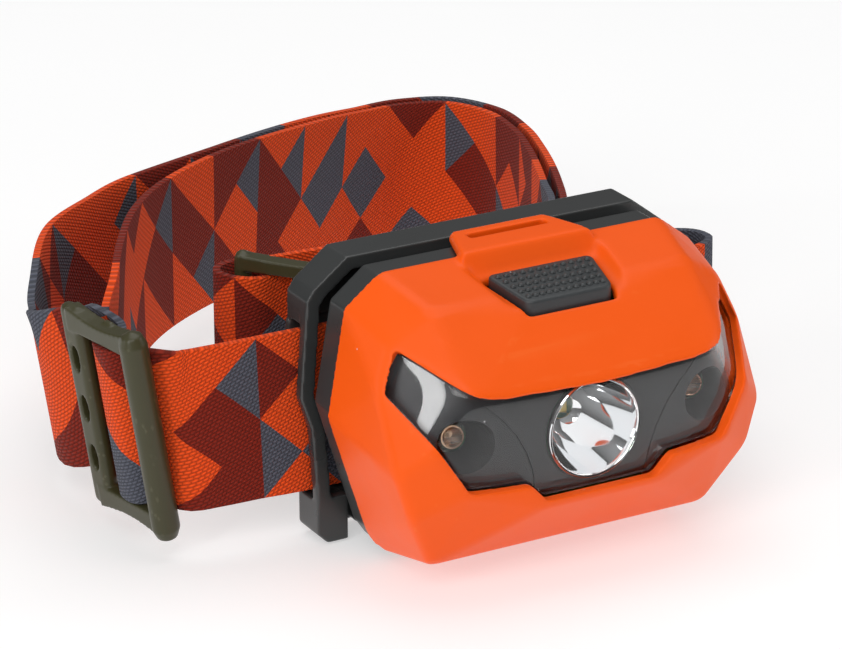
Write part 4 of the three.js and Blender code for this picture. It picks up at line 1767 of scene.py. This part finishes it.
@dataclass
class Studio:
    """The camera, the lights and the floor."""

    camera_place: Point = (-0.25961, -0.44223, 0.23319)
    camera_aim: Point = (0.45196, 0.81202, -0.36926)
    camera_roll: float = -0.24
    lens: float = 166.1
    sensor: float = 36.0
    room_low: float = 0.04
    room_high: float = 0.32

    def camera(self) -> None:
        """Stands the camera where the lamp is seen from its front left."""
        data = bpy.data.cameras.new("camera")
        data.lens = self.lens
        data.sensor_width = self.sensor
        data.clip_start = 0.01
        data.clip_end = 20.0
        camera = bpy.data.objects.new("camera", data)
        bpy.context.scene.collection.objects.link(camera)
        turn = Vector(self.camera_aim).to_track_quat("-Z", "Y").to_matrix().to_4x4()
        roll = Matrix.Rotation(math.radians(self.camera_roll), 4, "Z")
        camera.matrix_world = Matrix.Translation(self.camera_place) @ turn @ roll
        bpy.context.scene.camera = camera

    def light(self, name: str, place: Point, size: Flat, power: float) -> None:
        """Adds one softbox that looks at the lamp.

        Args:
            name: its name.
            place: where it stands, in metres.
            size: its width and height in metres.
            power: its power in watts.
        """
        data = bpy.data.lights.new(name, "AREA")
        data.shape = "RECTANGLE"
        data.size, data.size_y = size
        data.energy = power
        lamp = bpy.data.objects.new(name, data)
        bpy.context.scene.collection.objects.link(lamp)
        aim = Vector((0, 0.02, 0.02)) - Vector(place)
        turn = aim.to_track_quat("-Z", "Y").to_matrix().to_4x4()
        lamp.matrix_world = Matrix.Translation(place) @ turn

    def floor(self) -> None:
        """Lays a plain pale floor under the lamp."""
        shape = bmesh.new()
        bmesh.ops.create_grid(shape, x_segments=1, y_segments=1, size=4.0)
        bmesh.ops.translate(shape, verts=shape.verts, vec=(0, 0, -0.0003))
        mesh = bpy.data.meshes.new("floor")
        shape.to_mesh(mesh)
        shape.free()
        floor = bpy.data.objects.new("floor", mesh)
        bpy.context.scene.collection.objects.link(floor)
        material, graph, surface = new_material("floor")
        where = graph.node("ShaderNodeTexCoord").outputs["Object"]
        tone = graph.span(graph.noise(where, 3.0), 0.3, 0.7, 0.54, 0.57)
        material.node_tree.links.new(tone, surface.inputs["Base Color"])
        surface.inputs["Roughness"].default_value = 0.7
        surface.inputs["Specular IOR Level"].default_value = 0.2
        surface.inputs["Emission Color"].default_value = (1.0, 1.0, 1.0, 1.0)
        surface.inputs["Emission Strength"].default_value = 0.5
        mesh.materials.append(material)

    def lights(self) -> None:
        """Lights the lamp softly from above and from both sides."""
        world = bpy.data.worlds.new("studio")
        world.use_nodes = True
        graph = Graph(world.node_tree)
        nodes = world.node_tree.nodes
        ways = graph.node("ShaderNodeTexCoord").outputs["Generated"]
        height = graph.node("ShaderNodeSeparateXYZ", {0: ways}).outputs[2]
        room = graph.span(height, -0.05, 0.75, self.room_low, self.room_high)
        seen = graph.node("ShaderNodeLightPath").outputs["Is Camera Ray"]
        strength = graph.math("MAXIMUM", room, seen)
        nodes["Background"].inputs["Color"].default_value = (1.0, 1.0, 1.0, 1.0)
        world.node_tree.links.new(strength, nodes["Background"].inputs["Strength"])
        bpy.context.scene.world = world
        self.light("key", (-0.45, -0.6, 0.75), (0.5, 0.5), 2.9)
        self.light("top", (0.1, 0.15, 0.9), (0.8, 0.8), 3.6)
        self.light("left_strip", (-0.84, -0.4, 0.42), (0.12, 0.5), 2.3)
        self.light("rear_strip", (-0.95, 0.3, 0.3), (0.12, 0.5), 1.2)
        self.light("side", (0.8, -0.35, 0.35), (0.3, 0.5), 1.3)
        bpy.context.scene.view_settings.view_transform = "Standard"


def main() -> None:
    """Builds the studio and the headlamp."""
    logging.basicConfig(level=logging.INFO, format="%(name)s: %(message)s")
    studio = Studio()
    studio.camera()
    studio.lights()
    studio.floor()
    palette = Palette()
    front = FrontHousing(palette)
    front.build()
    ButtonPad(palette, front).build()
    RearHousing(palette).build()
    Buckles(palette).build()
    Webbing(palette).build()
    InnerParts(palette).build()


if __name__ == "__main__":
    main()
